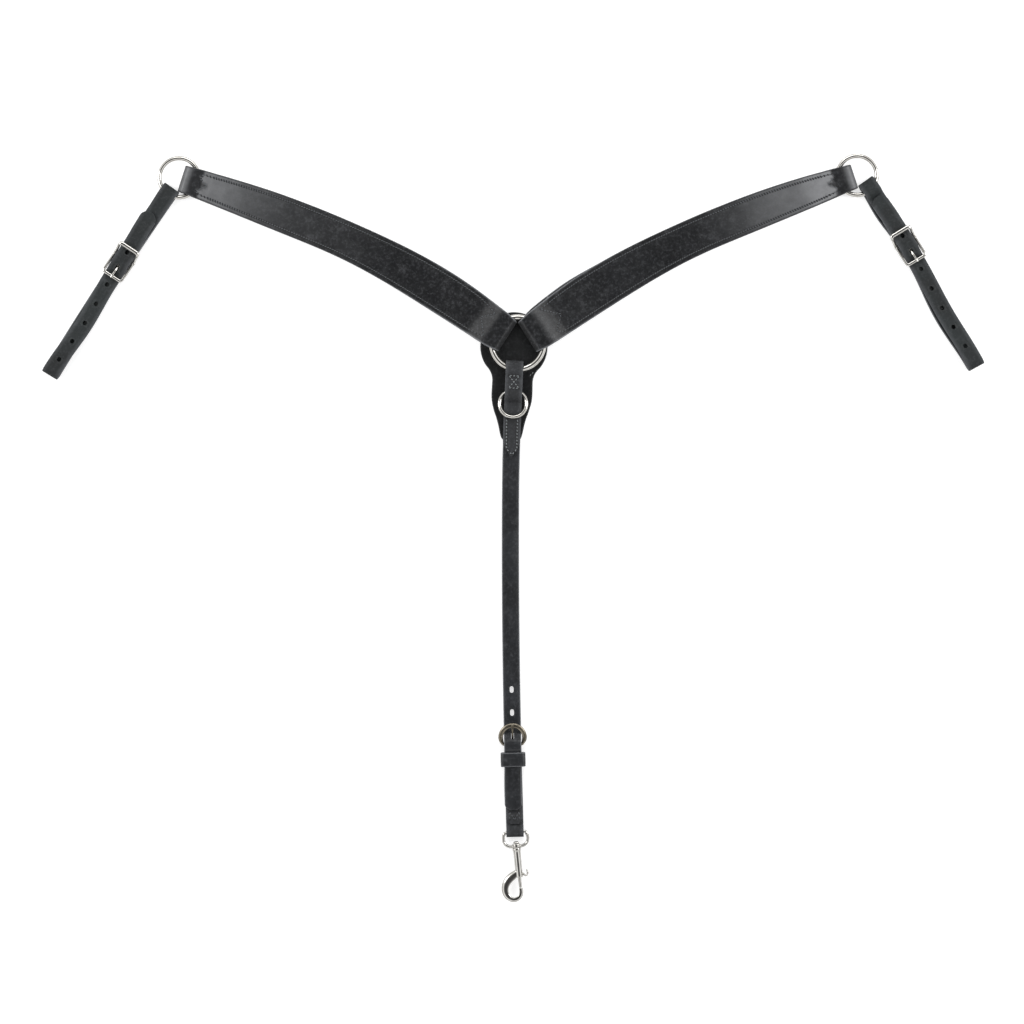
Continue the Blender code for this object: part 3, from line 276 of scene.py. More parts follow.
def sidePath(corners, thick=ply, arcStep=radians(9), longest=2.5):
    # a ply seen from its side: corners of (along, height, radius), each rounded to an arc, and the thickness
    # where it is another one; a point's last value is how far the ply swings aside there
    corners = [(*corner, thick)[:4] for corner in corners]
    points = [Vector((corners[0][0], corners[0][1], corners[0][3], 0))]
    for before, corner, after in zip(corners, corners[1:], corners[2:]):
        here = Vector(corner[:2])
        back, ahead = (Vector(before[:2]) - here).normalized(), (Vector(after[:2]) - here).normalized()
        half = acos(max(-1.0, min(1.0, back.dot(ahead)))) / 2
        if corner[2] == 0 or half > pi / 2 - 1e-4:
            points.append(Vector((here.x, here.y, corner[3], 0)))
            continue
        middle = here + (back + ahead).normalized() * corner[2] / sin(half)
        first = here + back * corner[2] / tan(half) - middle
        turn = (pi - 2 * half) * (1 if back.x * ahead.y - back.y * ahead.x < 0 else -1)
        count = max(1, ceil(abs(turn) / arcStep))
        for i in range(count + 1):
            spoke = Matrix.Rotation(turn * i / count, 2) @ first
            points.append(Vector((middle.x + spoke.x, middle.y + spoke.y, corner[3], 0)))
    points.append(Vector((corners[-1][0], corners[-1][1], corners[-1][3], 0)))
    path = [points[0]]
    for point in points[1:]:
        start, span = path[-1], (point.xy - path[-1].xy).length
        if span < 0.01:
            continue
        parts = max(1, ceil(span / longest))
        path.extend(start.lerp(point, i / parts) for i in range(1, parts + 1))
    return path


def tipRun(path, length, steps=14):
    # closer stations inside a tip, so that its outline rounds off
    run, result = 0.0, [path[0]]
    wanted = [length * (i / steps) ** 2 for i in range(1, steps + 1)]
    for a, b in zip(path, path[1:]):
        span = (b.xy - a.xy).length
        result += [a.lerp(b, (w - run) / span) for w in wanted if run + 0.02 < w < run + span - 0.02]
        result.append(b)
        run += span
    return result


def ovalTip(half, length, blunt):
    return length, lambda d: half * sqrt(max(blunt**2, 1 - (1 - min(d / length, 1.0)) ** 2))


def pointTip(half, length, blunt=0.14):
    return length, lambda d: half * min(1.0, blunt + (1 - blunt) * d / length)


def narrow(along):
    return narrowHalf


def flatDown(place):
    return 0.0


# a strap's face: its bevelled edge, its slight crown, and the creased line that runs inside the edge
strapFace = {"edge": 0.9, "crown": 0.12, "crease": 2.3, "creaseDepth": 0.16, "creaseWidth": 0.45}
sewnFace = dict(strapFace, edge=0.8, crease=5.0, creaseDepth=0.12, creaseWidth=0.8)
plainFace = dict(strapFace, crown=0.05, creaseDepth=0.0)
bevelSteps = (0.0, 0.06, 0.22, 0.5, 1.0)
bevelWear = ((0.6, 1.0), (1.2, 0.6), (1.5, 0.3))  # (up to how many bevels in, wear)


def crossSection(half, full, thick, face):
    # points of (across, out, edge wear) from the left edge over the grain side, then back underneath
    crown, crease, width = pick(face, "crown crease creaseWidth")
    edge = min(face["edge"], thick * 0.42)
    shrink = min(1.0, half / full)
    stations = [edge * s for s in bevelSteps] + [edge + 0.35]
    if crease > edge + 4 * width:
        stations.append(crease - 3.5 * width)
    stations += [crease + width * s for s in (-1.6, -0.7, 0, 0.7, 1.6)]
    stations += [crease + (full - crease) * s for s in (0.3, 0.6)]
    upper = []
    for d in stations:
        drop = edge - sqrt(max(0.0, edge**2 - (edge - d) ** 2)) if d < edge else 0.0
        groove = face["creaseDepth"] * exp(-((d - crease) / width) ** 2)
        out = thick / 2 - drop - groove + crown * (1 - (1 - d / full) ** 2) * (d > edge)
        wear = next((amount for bevels, amount in bevelWear if d < bevels * edge), 0.0)
        upper.append((half - d * shrink, out, wear))
    top = [(-x, out, wear) for x, out, wear in upper]
    top += [(0.0, thick / 2 + crown, 0.0)] + upper[::-1]
    low = thick * 0.16
    bottom = [(half, low - thick / 2, 0.9), (half - low * 0.35 * shrink, 0.3 * low - thick / 2, 0.6),
              (half - low * shrink, -thick / 2, 0.3), (half * 0.5, -thick / 2, 0.0)]
    return top + bottom + [(-x, out, wear) for x, out, wear in bottom[::-1]]


def skin(bm, loops, closed=False, slot=0):
    for low, high in zip(loops, loops[1:] + loops[:1] if closed else loops[1:]):
        for k in range(len(low)):
            bm.faces.new((low[k], low[k - 1], high[k - 1], high[k])).material_index = slot
    if not closed:
        for cap in (loops[0], loops[-1][::-1]):
            bm.faces.new(cap).material_index = slot


def layStrap(plan, path, halfWidth, face, lift=flatDown, startTip=None, endTip=None, paintedSheen=None, worn=None):
    # the ply follows its side path, while the plan leads it over the floor
    if startTip:
        path = tipRun(path, startTip[0])
    if endTip:
        path = tipRun(path[::-1], endTip[0])[::-1]
    run = [0.0]
    for a, b in zip(path, path[1:]):
        run.append(run[-1] + (b.xy - a.xy).length)
    bm = bmesh.new()
    layers = [bm.verts.layers.float.new(mark) for mark in ("edge", "paintedSheen", "dull")]
    loops = []
    for i, point in enumerate(path):
        ahead = path[min(i + 1, len(path) - 1)].xy - point.xy
        behind = point.xy - path[max(i - 1, 0)].xy
        tangent = (ahead.normalized() + behind.normalized()).normalized()
        normal = Vector((-tangent.y, tangent.x))
        whole = half = halfWidth(point.x)
        if startTip:
            half = min(half, startTip[1](run[i]))
        if endTip:
            half = min(half, endTip[1](run[-1] - run[i]))
        cutEnd = 0.6 if min(run[i], run[-1] - run[i]) < 0.3 else 0.0  # the dye is thin on a cut end
        rubbedAndHighlit = worn(point.x) if worn else 1.0 if half > whole - 0.1 else 0.35
        bent = easeStep(0.02, 0.14, 1 - normal.y)
        loop = []
        for across, out, wear in crossSection(half, whole, point.z, face):
            along, height = point.x + normal.x * out, point.y + normal.y * out
            spot, heading = plan(along)
            place = spot + (across + point.w) * Vector((-sin(heading), cos(heading)))
            vert = bm.verts.new((place.x, place.y, height + lift(place)))
            # painted sheen, on the grain side only
            sheened = paintedSheen(point.x, across) * easeStep(0.4, 2.0, half - abs(across)) if paintedSheen and out > 0 else 0.0
            for layer, value in zip(layers, (max(wear, cutEnd) * rubbedAndHighlit, sheened, bent)):
                vert[layer] = value
            loop.append(vert)
        loops.append(loop)
    skin(bm, loops)
    return bm


def smoothRun(points, sizes, step, closed=False):
    # an even curve through the given points, which may lie unevenly
    count = len(points)
    last = count if closed else count - 1
    spans = [(points[(i + 1) % count] - points[i]).length for i in range(last)]

    def slope(i):
        if not closed and i in (0, count - 1):
            k = min(i, last - 1)
            return (points[k + 1] - points[k]) / spans[k]
        before, after = spans[(i - 1) % last], spans[i % last]
        back, ahead = points[i % count] - points[i - 1], points[(i + 1) % count] - points[i % count]
        return (back / before * after + ahead / after * before) / (before + after)

    run, widths = [], []
    for i in range(last):
        k = (i + 1) % count
        parts = max(1, round(spans[i] / step))
        for j in range(parts):
            t = j / parts
            run.append(easeBetween(points[i], points[k], slope(i) * spans[i], slope(k) * spans[i], t))
            widths.append(tuple(low * (1 - t) + high * t for low, high in zip(sizes[i], sizes[k])))
    if not closed:
        run.append(points[-1])
        widths.append(sizes[-1])
    return run, widths


capSteps = (0.35, 0.65, 0.85, 0.96)  # how far out the rings of a rounded end lie, of 1


def wireMesh(points, sizes, axis=zUp, closed=False, sides=20, roundEnds=0.0, flat=1.0):
    # a bar along points; sizes are (half across, half along the axis); flat below 1 squares its inner half
    if roundEnds:
        points, sizes = list(points), list(sizes)
        for end in range(2):
            tip, size = points[-1], sizes[-1]
            out = (tip - points[-2]).normalized() * roundEnds
            points += [tip + out * s for s in capSteps]
            sizes += [tuple(v * sqrt(1 - s * s) for v in size) for s in capSteps]
            points.reverse()
            sizes.reverse()
    bm = bmesh.new()
    loops = []
    count = len(points)
    for i, point in enumerate(points):
        before = points[i - 1] if closed or i else point
        after = points[(i + 1) % count] if closed or i < count - 1 else point
        tangent = (after - before).normalized()
        side = tangent.cross(axis).normalized()
        up = side.cross(tangent)
        across, along = sizes[i]
        loop = []
        for k in range(sides):
            c, s = cos(2 * pi * k / sides), sin(2 * pi * k / sides)
            if c < 0:
                s = copysign(abs(s) ** flat, s)
            loop.append(bm.verts.new(point + side * across * c + up * along * s))
        loops.append(loop)
    skin(bm, loops, closed)
    return bm


def turnedMesh(profile, sides=48):
    # turned round X; the profile is (along, radius)
    bm = bmesh.new()
    skin(bm, [[bm.verts.new((x, r * cos(2 * pi * k / sides), r * sin(2 * pi * k / sides))) for k in range(sides)]
              for x, r in profile])
    return bm


def brokenEdge(at, radius, inward, run=0.9):
    # the stations of a turned end whose edge is broken; inward is 1 or -1
    return [(at, radius - 0.7), (at + inward * 0.3, radius - 0.2), (at + inward * run, radius)]


def blockMesh(low, high):
    bm = bmesh.new()
    bmesh.ops.create_cube(bm, size=1.0)
    low, high = Vector(low), Vector(high)
    stretch = Matrix.Diagonal((*(high - low), 1))
    bmesh.ops.transform(bm, verts=bm.verts, matrix=Matrix.Translation((low + high) / 2) @ stretch)
    return bm


def punchMesh(size, spots, top=30, steps=8):
    # an oblong punch for each (frame, height that it starts from), all in one cutter
    bm = bmesh.new()
    half, radius = size["length"] / 2 - size["width"] / 2, size["width"] / 2
    outline = []
    for end, start in ((1, -pi / 2), (-1, pi / 2)):
        for k in range(steps + 1):
            angle = start + pi * k / steps
            outline.append((end * half + radius * cos(angle), radius * sin(angle)))
    for spot, base in spots:
        skin(bm, [[bm.verts.new(spot @ Vector((x, y, z))) for x, y in outline] for z in (base, top)])
    return bm


def newObject(name, bm, local):
    bmesh.ops.recalc_face_normals(bm, faces=bm.faces)
    bm.transform(local)
    bm.transform(toWorld)
    mesh = bpy.data.meshes.new(name)
    bm.to_mesh(mesh)
    bm.free()
    obj = bpy.data.objects.new(name, mesh)
    scene.collection.objects.link(obj)
    return obj


def joinMeshes(meshes):
    whole = bmesh.new()
    for bm in meshes:
        mesh = bpy.data.meshes.new("part")
        bm.to_mesh(mesh)
        bm.free()
        whole.from_mesh(mesh)
        bpy.data.meshes.remove(mesh)
    return whole


sharpFrom = radians(40)


def addPiece(name, bm, material, body, node=None, local=Matrix.Identity(4)):
    obj = newObject(name, bm, local)
    obj.data.shade_smooth()
    obj.data.set_sharp_from_angle(angle=sharpFrom)
    obj.data.materials.append(material)
    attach(obj, body)
    if node:
        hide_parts(node)
    return obj


def applyModifier(obj, kind, **settings):
    modifier = obj.modifiers.new(kind.title(), kind)
    for key, value in settings.items():
        setattr(modifier, key, value)
    mesh = bpy.data.meshes.new_from_object(obj.evaluated_get(bpy.context.evaluated_depsgraph_get()))
    obj.modifiers.remove(modifier)
    old = obj.data
    obj.data = mesh
    bpy.data.meshes.remove(old)


def cutFrom(obj, bm, local=Matrix.Identity(4)):
    cutter = newObject("cutter", bm, local)
    applyModifier(obj, "BOOLEAN", operation="DIFFERENCE", solver="EXACT", object=cutter)
    bpy.data.objects.remove(cutter)
    obj.data.set_sharp_from_angle(angle=sharpFrom)


def castTogether(obj, voxel=0.26, rounds=3):
    # bars flow into each other as in a casting
    applyModifier(obj, "REMESH", mode="VOXEL", voxel_size=voxel * mm, use_smooth_shade=True)
    applyModifier(obj, "SMOOTH", factor=0.5, iterations=rounds)
    obj.data.shade_smooth()


thread = {
    "pitch": 3.6, "length": 2.3, "radius": 0.55, "rise": 0.08, "lean": 14.0,  # a heavy 1.1 mm thread, 7 to the inch
    "slit": 3.3, "slitWidth": 1.6, "slitTurn": -55.0, "slitFrom": -0.3, "slitTo": 0.2,
    # a stitch from end to end, its ends dipping: (along, height, thickness), of its half length and radius
    "shape": ((-1.0, -0.55, 0.35), (-0.72, -0.05, 0.85), (-0.3, 0.22, 1.0),
              (0.3, 0.22, 1.0), (0.72, -0.05, 0.85), (1.0, -0.55, 0.35)),
}


def stitchMesh(runs, surface, sides=6):
    # runs are polylines of (along, across) on a strap
    pitch, length, radius, rise, shape = pick(thread, "pitch length radius rise shape")
    lean, slitTurn = (Matrix.Rotation(radians(angle), 2) for angle in pick(thread, "lean slitTurn"))
    bm = bmesh.new()
    for a, b in ((Vector(a), Vector(b)) for run in runs for a, b in zip(run, run[1:])):
        span = (b - a).length
        count = max(1, round(span / pitch))
        line = (b - a).normalized()
        ahead = lean @ line
        ahead *= min(length, span / count * 0.75) / 2
        slit = slitTurn @ line * thread["slit"] / 2
        slitSide = Vector((-slit.y, slit.x)).normalized() * thread["slitWidth"] / 2
        for i in range(count):
            middle = a.lerp(b, (i + 0.5) / count)
            points = [surface(*(middle + ahead * t)) + Vector((0, 0, radius * dip + rise))
                      for t, dip, thick in shape]
            rings = []
            for k, (point, (t, dip, thick)) in enumerate(zip(points, shape)):
                tangent = (points[min(k + 1, len(shape) - 1)] - points[max(k - 1, 0)]).normalized()
                side = tangent.cross(zUp).normalized()
                up = side.cross(tangent)
                turns = [2 * pi * j / sides for j in range(sides)]
                rings.append([bm.verts.new(point + radius * thick * (side * cos(w) + up * sin(w))) for w in turns])
            skin(bm, rings)
            # a near-black slit at each hole, painted shade for the awl hole's shadow
            hole = a.lerp(b, i / count)
            corners = [hole + slit, hole + slit * 0.6 + slitSide, hole - slit * 0.6 + slitSide,
                       hole - slit, hole - slit * 0.6 - slitSide, hole + slit * 0.6 - slitSide]
            skin(bm, [[bm.verts.new(surface(*corner) + Vector((0, 0, height))) for corner in corners]
                      for height in pick(thread, "slitFrom slitTo")], slot=1)
    return bm


def sewOn(name, runs, surface, color, body):
    seam = addPiece(name, stitchMesh(runs, surface), color, body)
    seam.data.materials.append(awlHoleShade)


def topSurface(plan, path, lift=flatDown):
    # the highest face of a folded strap at (along, across)
    spans = [(a, b) if a.x < b.x else (b, a) for a, b in zip(path, path[1:]) if abs(a.x - b.x) > 1e-6]

    def surface(along, across):
        best = None
        for low, high in spans:
            if low.x <= along <= high.x:
                t = (along - low.x) / (high.x - low.x)
                height = low.y + (high.y - low.y) * t + (low.z + (high.z - low.z) * t) / 2
                if best is None or height > best[0]:
                    best = (height, low.w + (high.w - low.w) * t)
        height, shift = best or (0.0, 0.0)
        spot, heading = plan(along)
        place = spot + (across + shift) * Vector((-sin(heading), cos(heading)))
        return Vector((place.x, place.y, height + lift(place)))

    return surface


def ringMesh(ring, steps=120, sides=24):
    # wire bent round and butt-welded: the weld leaves a slightly thicker spot
    radius, wire = (ring["bore"] + ring["wire"]) / 2, ring["wire"] / 2
    points, sizes = [], []
    for i in range(steps):
        angle = 2 * pi * i / steps
        points.append(Vector((radius * cos(angle), radius * sin(angle), 0)))
        weld = 0.12 * exp(-((i - steps * 0.5) / 1.6) ** 2)
        sizes.append((wire + weld, wire + weld))
    return wireMesh(points, sizes, closed=True, sides=sides)


guardLift = ply + gap
centerHeight = guardLift + ply + gap + centerRing["wire"] / 2
sideHeight = ply + gap + sideRing["wire"] / 2
addPiece("welded_center_ring", ringMesh(centerRing, 144, 28), nickelPlate, "ring", "center_ring",
         Matrix.Translation((0, 0, centerHeight)))

# angles in degrees, all else in mm along or across a strap; widths are half widths; a seam is a line of
# (along, across); a sheen list is (along, amount) of painted sheen, and the fold's list, a painted highlight, is
# counted from the side ring's fold
chest = {
    "left": {
        "heading": 147.1, "reach": 13.2, "lead": -3.3, "turn": 1, "outer": 155.8, "sideHalf": 14.8, "sideReach": 3.0,
        "spread": 0.0,
        "centerSeam": [(29.6, 17.0), (22.0, 14.2), (29.6, 5.7), (36.5, -1.1), (25.5, -13.2), (36.7, -15.9)],
        "sideSeam": [(378.0, 10.9), (381.0, 8.6), (372.0, -0.3), (380.6, -6.0), (378.6, -11.2)],
        "paintedSheen": [(170, 0), (190, 0.03), (262, 0.07), (279, 0.1), (296, 0.16), (330, 0.3), (358, 0.54), (380, 0.58)],
    },
    "right": {
        "heading": 32.0, "reach": 12.2, "lead": 4.6, "turn": -1, "outer": 158.4, "sideHalf": 13.6, "sideReach": 3.2,
        "spread": 2.2,
        "centerSeam": [(30.0, 16.9), (36.2, 9.6), (45.5, -0.4), (38.7, -6.2), (30.4, -11.9), (33.2, -16.9)],
        "sideSeam": [(380.0, 9.8), (380.8, 5.7), (373.0, 0.7), (381.2, -7.6), (378.6, -9.8)],
        "paintedSheen": [(16, 0), (21, 0.1), (27, 0.12), (33, 0), (215, 0), (265, 0.11), (288, 0.25), (322, 0.42),
                  (339, 0.46), (356, 0.8), (380, 0.92)],
    },
    "leadLength": 30.0, "innerLength": 215.0, "innerTurn": 14.2, "outerTurn": 4.3, "return": 44.0, "toFloor": 70.0,
    "centerDown": 19.0, "sideDown": 11.5, "seamInset": 5.0, "rowSteps": 60, "paleEdgeTo": (40, 170),
    "widths": [(0, 19.0), (16, 21.6), (90, 23.8), (200, 20.8), (290, 19.9), (350, 17.6)],
    # a painted highlight on the fold over the side ring
    "paintedFoldHighlight": [(-16, 0), (-11, 0.04), (-7.5, 0.4), (-4.5, 0.64), (-2.5, 0.5), (-1, 0)],
}
# a keyhole: a round behind the ring, a neck, and a taper of (along, half width) that ends under the strap's point
guard = {
    "round": 37.0, "middle": 3.6, "top": 1.03, "roundTurn": 126, "roundSteps": 52, "shoulderSteps": 24,
    "neck": 22.3, "neckStart": 42.0, "length": 105.0, "shift": -1.6,
    "lower": [(42, 22.3), (61, 22.3), (73.3, 19.6), (82, 16.6), (89.8, 14.4), (95.7, 13.2), (100.8, 12.0), (105, 10.6)],
    "tip": [(106.0, 9.3), (106.5, 7.5)],
    # its cut edge from the back to the face: (inset, height, wear)
    "edge": [(0.5, 0.0, 0.3), (0.12, 0.12, 0.7), (0.0, 0.5, 1.0), (0.0, ply - 0.9, 1.0), (0.1, ply - 0.5, 1.0),
             (0.35, ply - 0.2, 0.8), (0.9, ply, 0.3), (2.0, ply, 0.0)],
}
guardRadius = guard["round"] + guard["middle"] - guard["shift"]


def chestLift(place):
    return guardLift * (1 - easeStep(guardRadius + 3, guardRadius + chest["toFloor"], place.length))


def chestSidePath(own):
    # from the sewn-down end behind the centre ring, round both rings, to the other end
    length = chest["leadLength"] + chest["innerLength"] + own["outer"]
    low, second, back = stackHeight(0), stackHeight(1), chest["return"]
    overCenter = low + ply + centerRing["wire"] + 2 * gap
    overSide = low + ply + sideRing["wire"] + 2 * gap
    innerWire = centerRing["bore"] / 2 + centerRing["wire"] - own["reach"] + gap + 1
    outerWire = length - (sideRing["bore"] / 2 + sideRing["wire"] - own["sideReach"]) - gap - 1
    innerFold, outerFold = (overCenter - low) / 2, (overSide - low) / 2
    return length, sidePath([
        (back, low, 0), (ply / 2, low, innerFold), (ply / 2, overCenter, innerFold), (innerWire, overCenter, 16),
        (innerWire + chest["centerDown"], second, 30), (outerWire - chest["sideDown"], second, 14),
        (outerWire, overSide, 10), (length - ply / 2, overSide, outerFold), (length - ply / 2, low, outerFold),
        (length - back, low, 0),
    ])


def chestSeams(own, half):
    # a pointed seam across each sewn-down end, and a row along each edge
    seams, steps = [own["centerSeam"], own["sideSeam"]], chest["rowSteps"]
    for sign, end in ((1, 0), (-1, -1)):
        first, final = own["centerSeam"][end], own["sideSeam"][end]
        stations = [first[0] + (final[0] - first[0]) * i / steps for i in range(2, steps - 1)]
        seams.append([first, *[(s, sign * (half(s) - chest["seamInset"])) for s in stations], final])
    return seams


def layChestStrap(side):
    own, body = chest[side], side + "_chest"
    heading = radians(own["heading"])
    plan = makePlan(own["reach"] * Vector((cos(heading), sin(heading))), heading, [
        (chest["leadLength"], radians(own["lead"])),
        (chest["innerLength"], own["turn"] * radians(chest["innerTurn"])),
        (own["outer"], own["turn"] * radians(chest["outerTurn"])),
    ])
    length, path = chestSidePath(own)
    for point in path:
        if point.y < ply and point.x < length / 2:
            point.w = own["spread"] * easeStep(2, 25, point.x)  # the plies behind stand out at the upper edge
    half = easedCurve(chest["widths"] + [(length - 2, own["sideHalf"])])
    glazeAndSheen, foldHighlightCurve = easedCurve(own["paintedSheen"]), easedCurve(chest["paintedFoldHighlight"])
    seamLine = easedCurve(sorted((across, along) for along, across in own["sideSeam"]))

    def paintedSheen(along, across):
        # a painted sheen, paler towards the pointed seam, and a painted highlight where the ply bends over the side
        # ring
        until = seamLine(across)
        return max(0.0, glazeAndSheen(along) * (1 - easeStep(until - 1.5, until + 1.5, along)), foldHighlightCurve(along - length))

    def worn(along):
        return 1 - 0.9 * easeStep(*chest["paleEdgeTo"], along)  # the pale edge, rubbed wear and a painted highlight, shows only near the centre ring

    outer = layStrap(plan, path, half, sewnFace, chestLift, paintedSheen=paintedSheen, worn=worn)
    addPiece(side + "_chest_outer_ply", outer, chestLeather, body, side + "_chest_strap")
    ends = chest["return"] + gap
    liningPath = sidePath([(ends, stackHeight(0), 0), (length - ends, stackHeight(0), 0)])
    for point in liningPath:
        point.w = own["spread"] * (1 - easeStep(60, 120, point.x))
    lining = layStrap(plan, liningPath, half, plainFace, chestLift)
    addPiece(side + "_chest_lining_ply", lining, liningLeather, body, side + "_chest_lining")
    sewOn(side + "_chest_stitching", chestSeams(own, half), topSurface(plan, path, chestLift), blackThread, body)
    ringFrame = planFrame(plan, length + own["sideReach"], sideHeight)
    addPiece(side + "_welded_side_ring", ringMesh(sideRing), nickelPlate, side + "_ring", side + "_side_ring",
             ringFrame)
    return ringFrame.translation.copy()


ringPlaces = {side: layChestStrap(side) for side in ("left", "right")}
print("chest straps laid")

# measured along the strap from the side ring; the bar is the buckle's, and what hangs on it is counted from it
tug = {
    "left": {"heading": 234.9, "aside": 0.0, "ramp": 18.0, "bows": ((110.0, 1.6), (150.0, 2.2)), "bar": 107.0,
             "length": 260.0, "reach": 13.1, "backUpper": 0.0, "backLower": 0.0, "frontLower": 2.6, "tail": -2.5},
    "right": {"heading": 305.5, "aside": 3.8, "ramp": 6.0, "bows": ((110.0, -5.0), (139.0, -2.0)), "bar": 90.0,
              "length": 249.0, "reach": 9.9, "backUpper": -2.5, "backLower": -4.3, "frontLower": -1.6, "tail": 0.0},
    "loopHeight": 8.0, "loopCrest": 27.0, "loopRun": 68.0, "footRise": 21.5, "crest": 7.5, "stub": 31.0,
    "step": 34.0, "stepRun": 10.0, "stepLag": 1.2, "billet": 58.0,
    "barWire": 3.0, "foot": 2.7, "top": 3.7, "rail": 3.0, "railHalf": 1.65, "railRoom": 0.7, "corner": 3.0, "boss": 0.9,
    "footAt": 24.0, "topAt": 12.2, "tongueSlope": 20.0,
    "holeFromBar": 12.9, "spareHole": -7.0, "openHoles": 5, "openFrom": 34.7, "pitch": 24.4,
}
hole = {"length": 7.4, "width": 4.0}
spareHole = {"length": 5.2, "width": 4.4}  # the tugs' empty holes look nearly round
tongue = {"wide": 2.2, "thick": 1.5, "play": 0.15, "pastFrame": 1.6}

tugHeight = {"bar": ply + gap + skived + gap + tug["barWire"] / 2}
tugHeight["overBar"] = tugHeight["bar"] + tug["barWire"] / 2 + gap + skived / 2
tugHeight["billet"] = tugHeight["overBar"] + skived / 2 + gap + ply / 2
tugHeight["foot"] = 2 * (ply + gap) + tug["foot"] / 2
tugHeight["top"] = tugHeight["billet"] + ply / 2 + gap + tug["top"] / 2


def tugSway(own, along, front):
    # how far each run of the strap bows aside, so that the lower ones peep out as in the photograph
    bar, end, reach = pick(own, "bar length reach")
    low = bar + tug["footRise"]
    if along > low:
        return sin(pi * (along - low) / (end - low)) ** 2 * own["frontLower" if front else "backLower"]
    if front:
        return own["tail"] * easeStep(tug["topAt"], tug["billet"], bar - along)
    if along < bar:
        return own["backUpper"] * sin(pi * (along - reach) / (bar - reach)) ** 2
    return 0.0


def tugSidePath(own):
    # from the stub under the front ply, round the bar, the ring and the free loop, to the billet's end
    bar, end, reach, ramp = pick(own, "bar length reach ramp")
    overBar, billet = pick(tugHeight, "overBar billet")
    low, second, third = (stackHeight(count) for count in range(3))
    thin = ply + gap + skived / 2
    overWire = low + ply + sideRing["wire"] + 2 * gap
    wireFar = sideRing["bore"] / 2 + sideRing["wire"] + gap
    loopTop = low + ply + tug["loopHeight"]
    barFold, wireFold, loopFold = (overBar - thin) / 2, (overWire - low) / 2, (ply + tug["loopHeight"]) / 2
    fold = bar + tug["barWire"] / 2 + gap + skived / 2
    resting = third + ply + gap
    step, run = bar - tug["step"], tug["stepRun"]
    lag = step - tug["stepLag"]
    path = sidePath([
        (bar - tug["stub"], second, 0), (bar - 13, second, 8), (bar - 6, thin, 8, skived),
        (fold, thin, barFold, skived), (fold, overBar, barFold, skived), (bar - 6, overBar, 8, skived),
        (bar - 14, third, 8), (step, third, 8), (step - run, second, 8), (wireFar + ramp, second, ramp / 2),
        (wireFar + 1, overWire, 3), (reach + ply / 2, overWire, wireFold), (reach + ply / 2, low, wireFold),
        (end - ply / 2, low, loopFold), (end - ply / 2, loopTop, loopFold), (end - tug["loopCrest"], loopTop, 40),
        (end - tug["loopRun"], second, 80), (bar + tug["footRise"], second, 5), (bar + tug["crest"], billet, 5),
        (bar - 11, billet, 12), (bar - 18, resting, 12), (lag, resting, 8), (lag - run, third, 8),
        (bar - tug["billet"], third, 0),
    ])
    ringFold = min(range(len(path)), key=lambda i: path[i].x)
    loopFold = max(range(len(path)), key=lambda i: path[i].x)
    for i, point in enumerate(path):
        if i > ringFold:
            point.w = tugSway(own, point.x, i > loopFold)
    return path


def tongueMesh(bar, height, reach, lie, slope):
    # wire curled round the bar, a straight shaft and a flattened tip; X runs from the bar to the tip
    thick, wide = tongue["thick"] / 2, tongue["wide"] / 2
    eye = bar / 2 + tongue["play"] + thick
    lie -= height
    start, leave, steps = radians(50), radians(270) + slope, 24
    curl = [start + (leave - start) * i / steps for i in range(steps + 1)]
    points = [Vector((eye * cos(a), 0, eye * sin(a))) for a in curl]
    foot = points[-1]
    bend = foot.x + (lie - foot.z) / tan(slope)
    shaft = sidePath([(foot.x, foot.z, 0), (bend, lie, 6), (reach, lie, 0)], 1, radians(6), 1.5)
    points += [Vector((p.x, 0, p.y)) for p in shaft[1:]]
    sizes = [(thick, wide)] * (len(points) - 1) + [(thick * 0.75, wide * 0.8)]
    bm = wireMesh(points, sizes, Vector((0, 1, 0)), sides=16, roundEnds=0.6)
    bm.transform(Matrix.Translation((0, 0, height)))
    return bm


def cornerArc(x, y, radius, start, steps=8):
    # a quarter turn from the angle start
    angles = [radians(start + 90 * k / steps) for k in range(steps + 1)]
    return [(x + radius * cos(a), y + radius * sin(a)) for a in angles]


tugRail = narrowHalf + tug["railRoom"] + tug["rail"] / 2


def tugFrameMesh():
    # foot bar, rails that crank up past the centre bar, and the keeper bar; X runs down the strap
    half, corner, foot, top = tugRail, tug["corner"], tug["footAt"], -tug["topAt"]
    atBar, atFoot, atTop = pick(tugHeight, "bar foot top")

    def railHeight(x):
        if x >= 0:
            return atBar + (atFoot - atBar) * easeStep(0, foot, x)
        return atBar + (atTop - atBar) * easeStep(0, tug["topAt"], -x)

    def railSize(x):
        t = (x - top) / (foot - top)
        wide = tug["railHalf"] + 0.8 * easeStep(3, 0, x - top) + 0.25 * easeStep(3, 0, foot - x)
        return wide, tug["top"] / 2 * (1 - t) + tug["foot"] / 2 * t

    rail = [18 - 1.5 * i for i in range(18)]
    bar = [(half - corner - 0.8) * (1 - i / 6) for i in range(1, 12)]
    outline = cornerArc(foot - corner, half - corner, corner, 0) + [(x, half) for x in rail]
    outline += cornerArc(top + corner, half - corner, corner, 90) + [(top, y) for y in bar]
    outline += cornerArc(top + corner, corner - half, corner, 180) + [(x, -half) for x in rail[::-1]]
    outline += cornerArc(foot - corner, corner - half, corner, 270) + [(foot, -y) for y in bar]
    return wireMesh([Vector((x, y, railHeight(x))) for x, y in outline], [railSize(x) for x, y in outline], closed=True)


def tugBarMesh():
    # the centre bar, with a boss at each rail
    rail, boss = tugRail, tug["barWire"] / 2 + tug["boss"]
    ends = brokenEdge(-(rail + tug["rail"] / 2 + 0.5), boss, 1, 0.8)
    ends += [(0.4 - rail, boss), (1.0 - rail, boss - 0.5), (1.6 - rail, tug["barWire"] / 2)]
    bm = turnedMesh(ends + [(-x, r) for x, r in ends[::-1]])
    bm.transform(Matrix.Translation((0, 0, tugHeight["bar"])) @ Matrix.Rotation(pi / 2, 4, "Z"))
    return bm


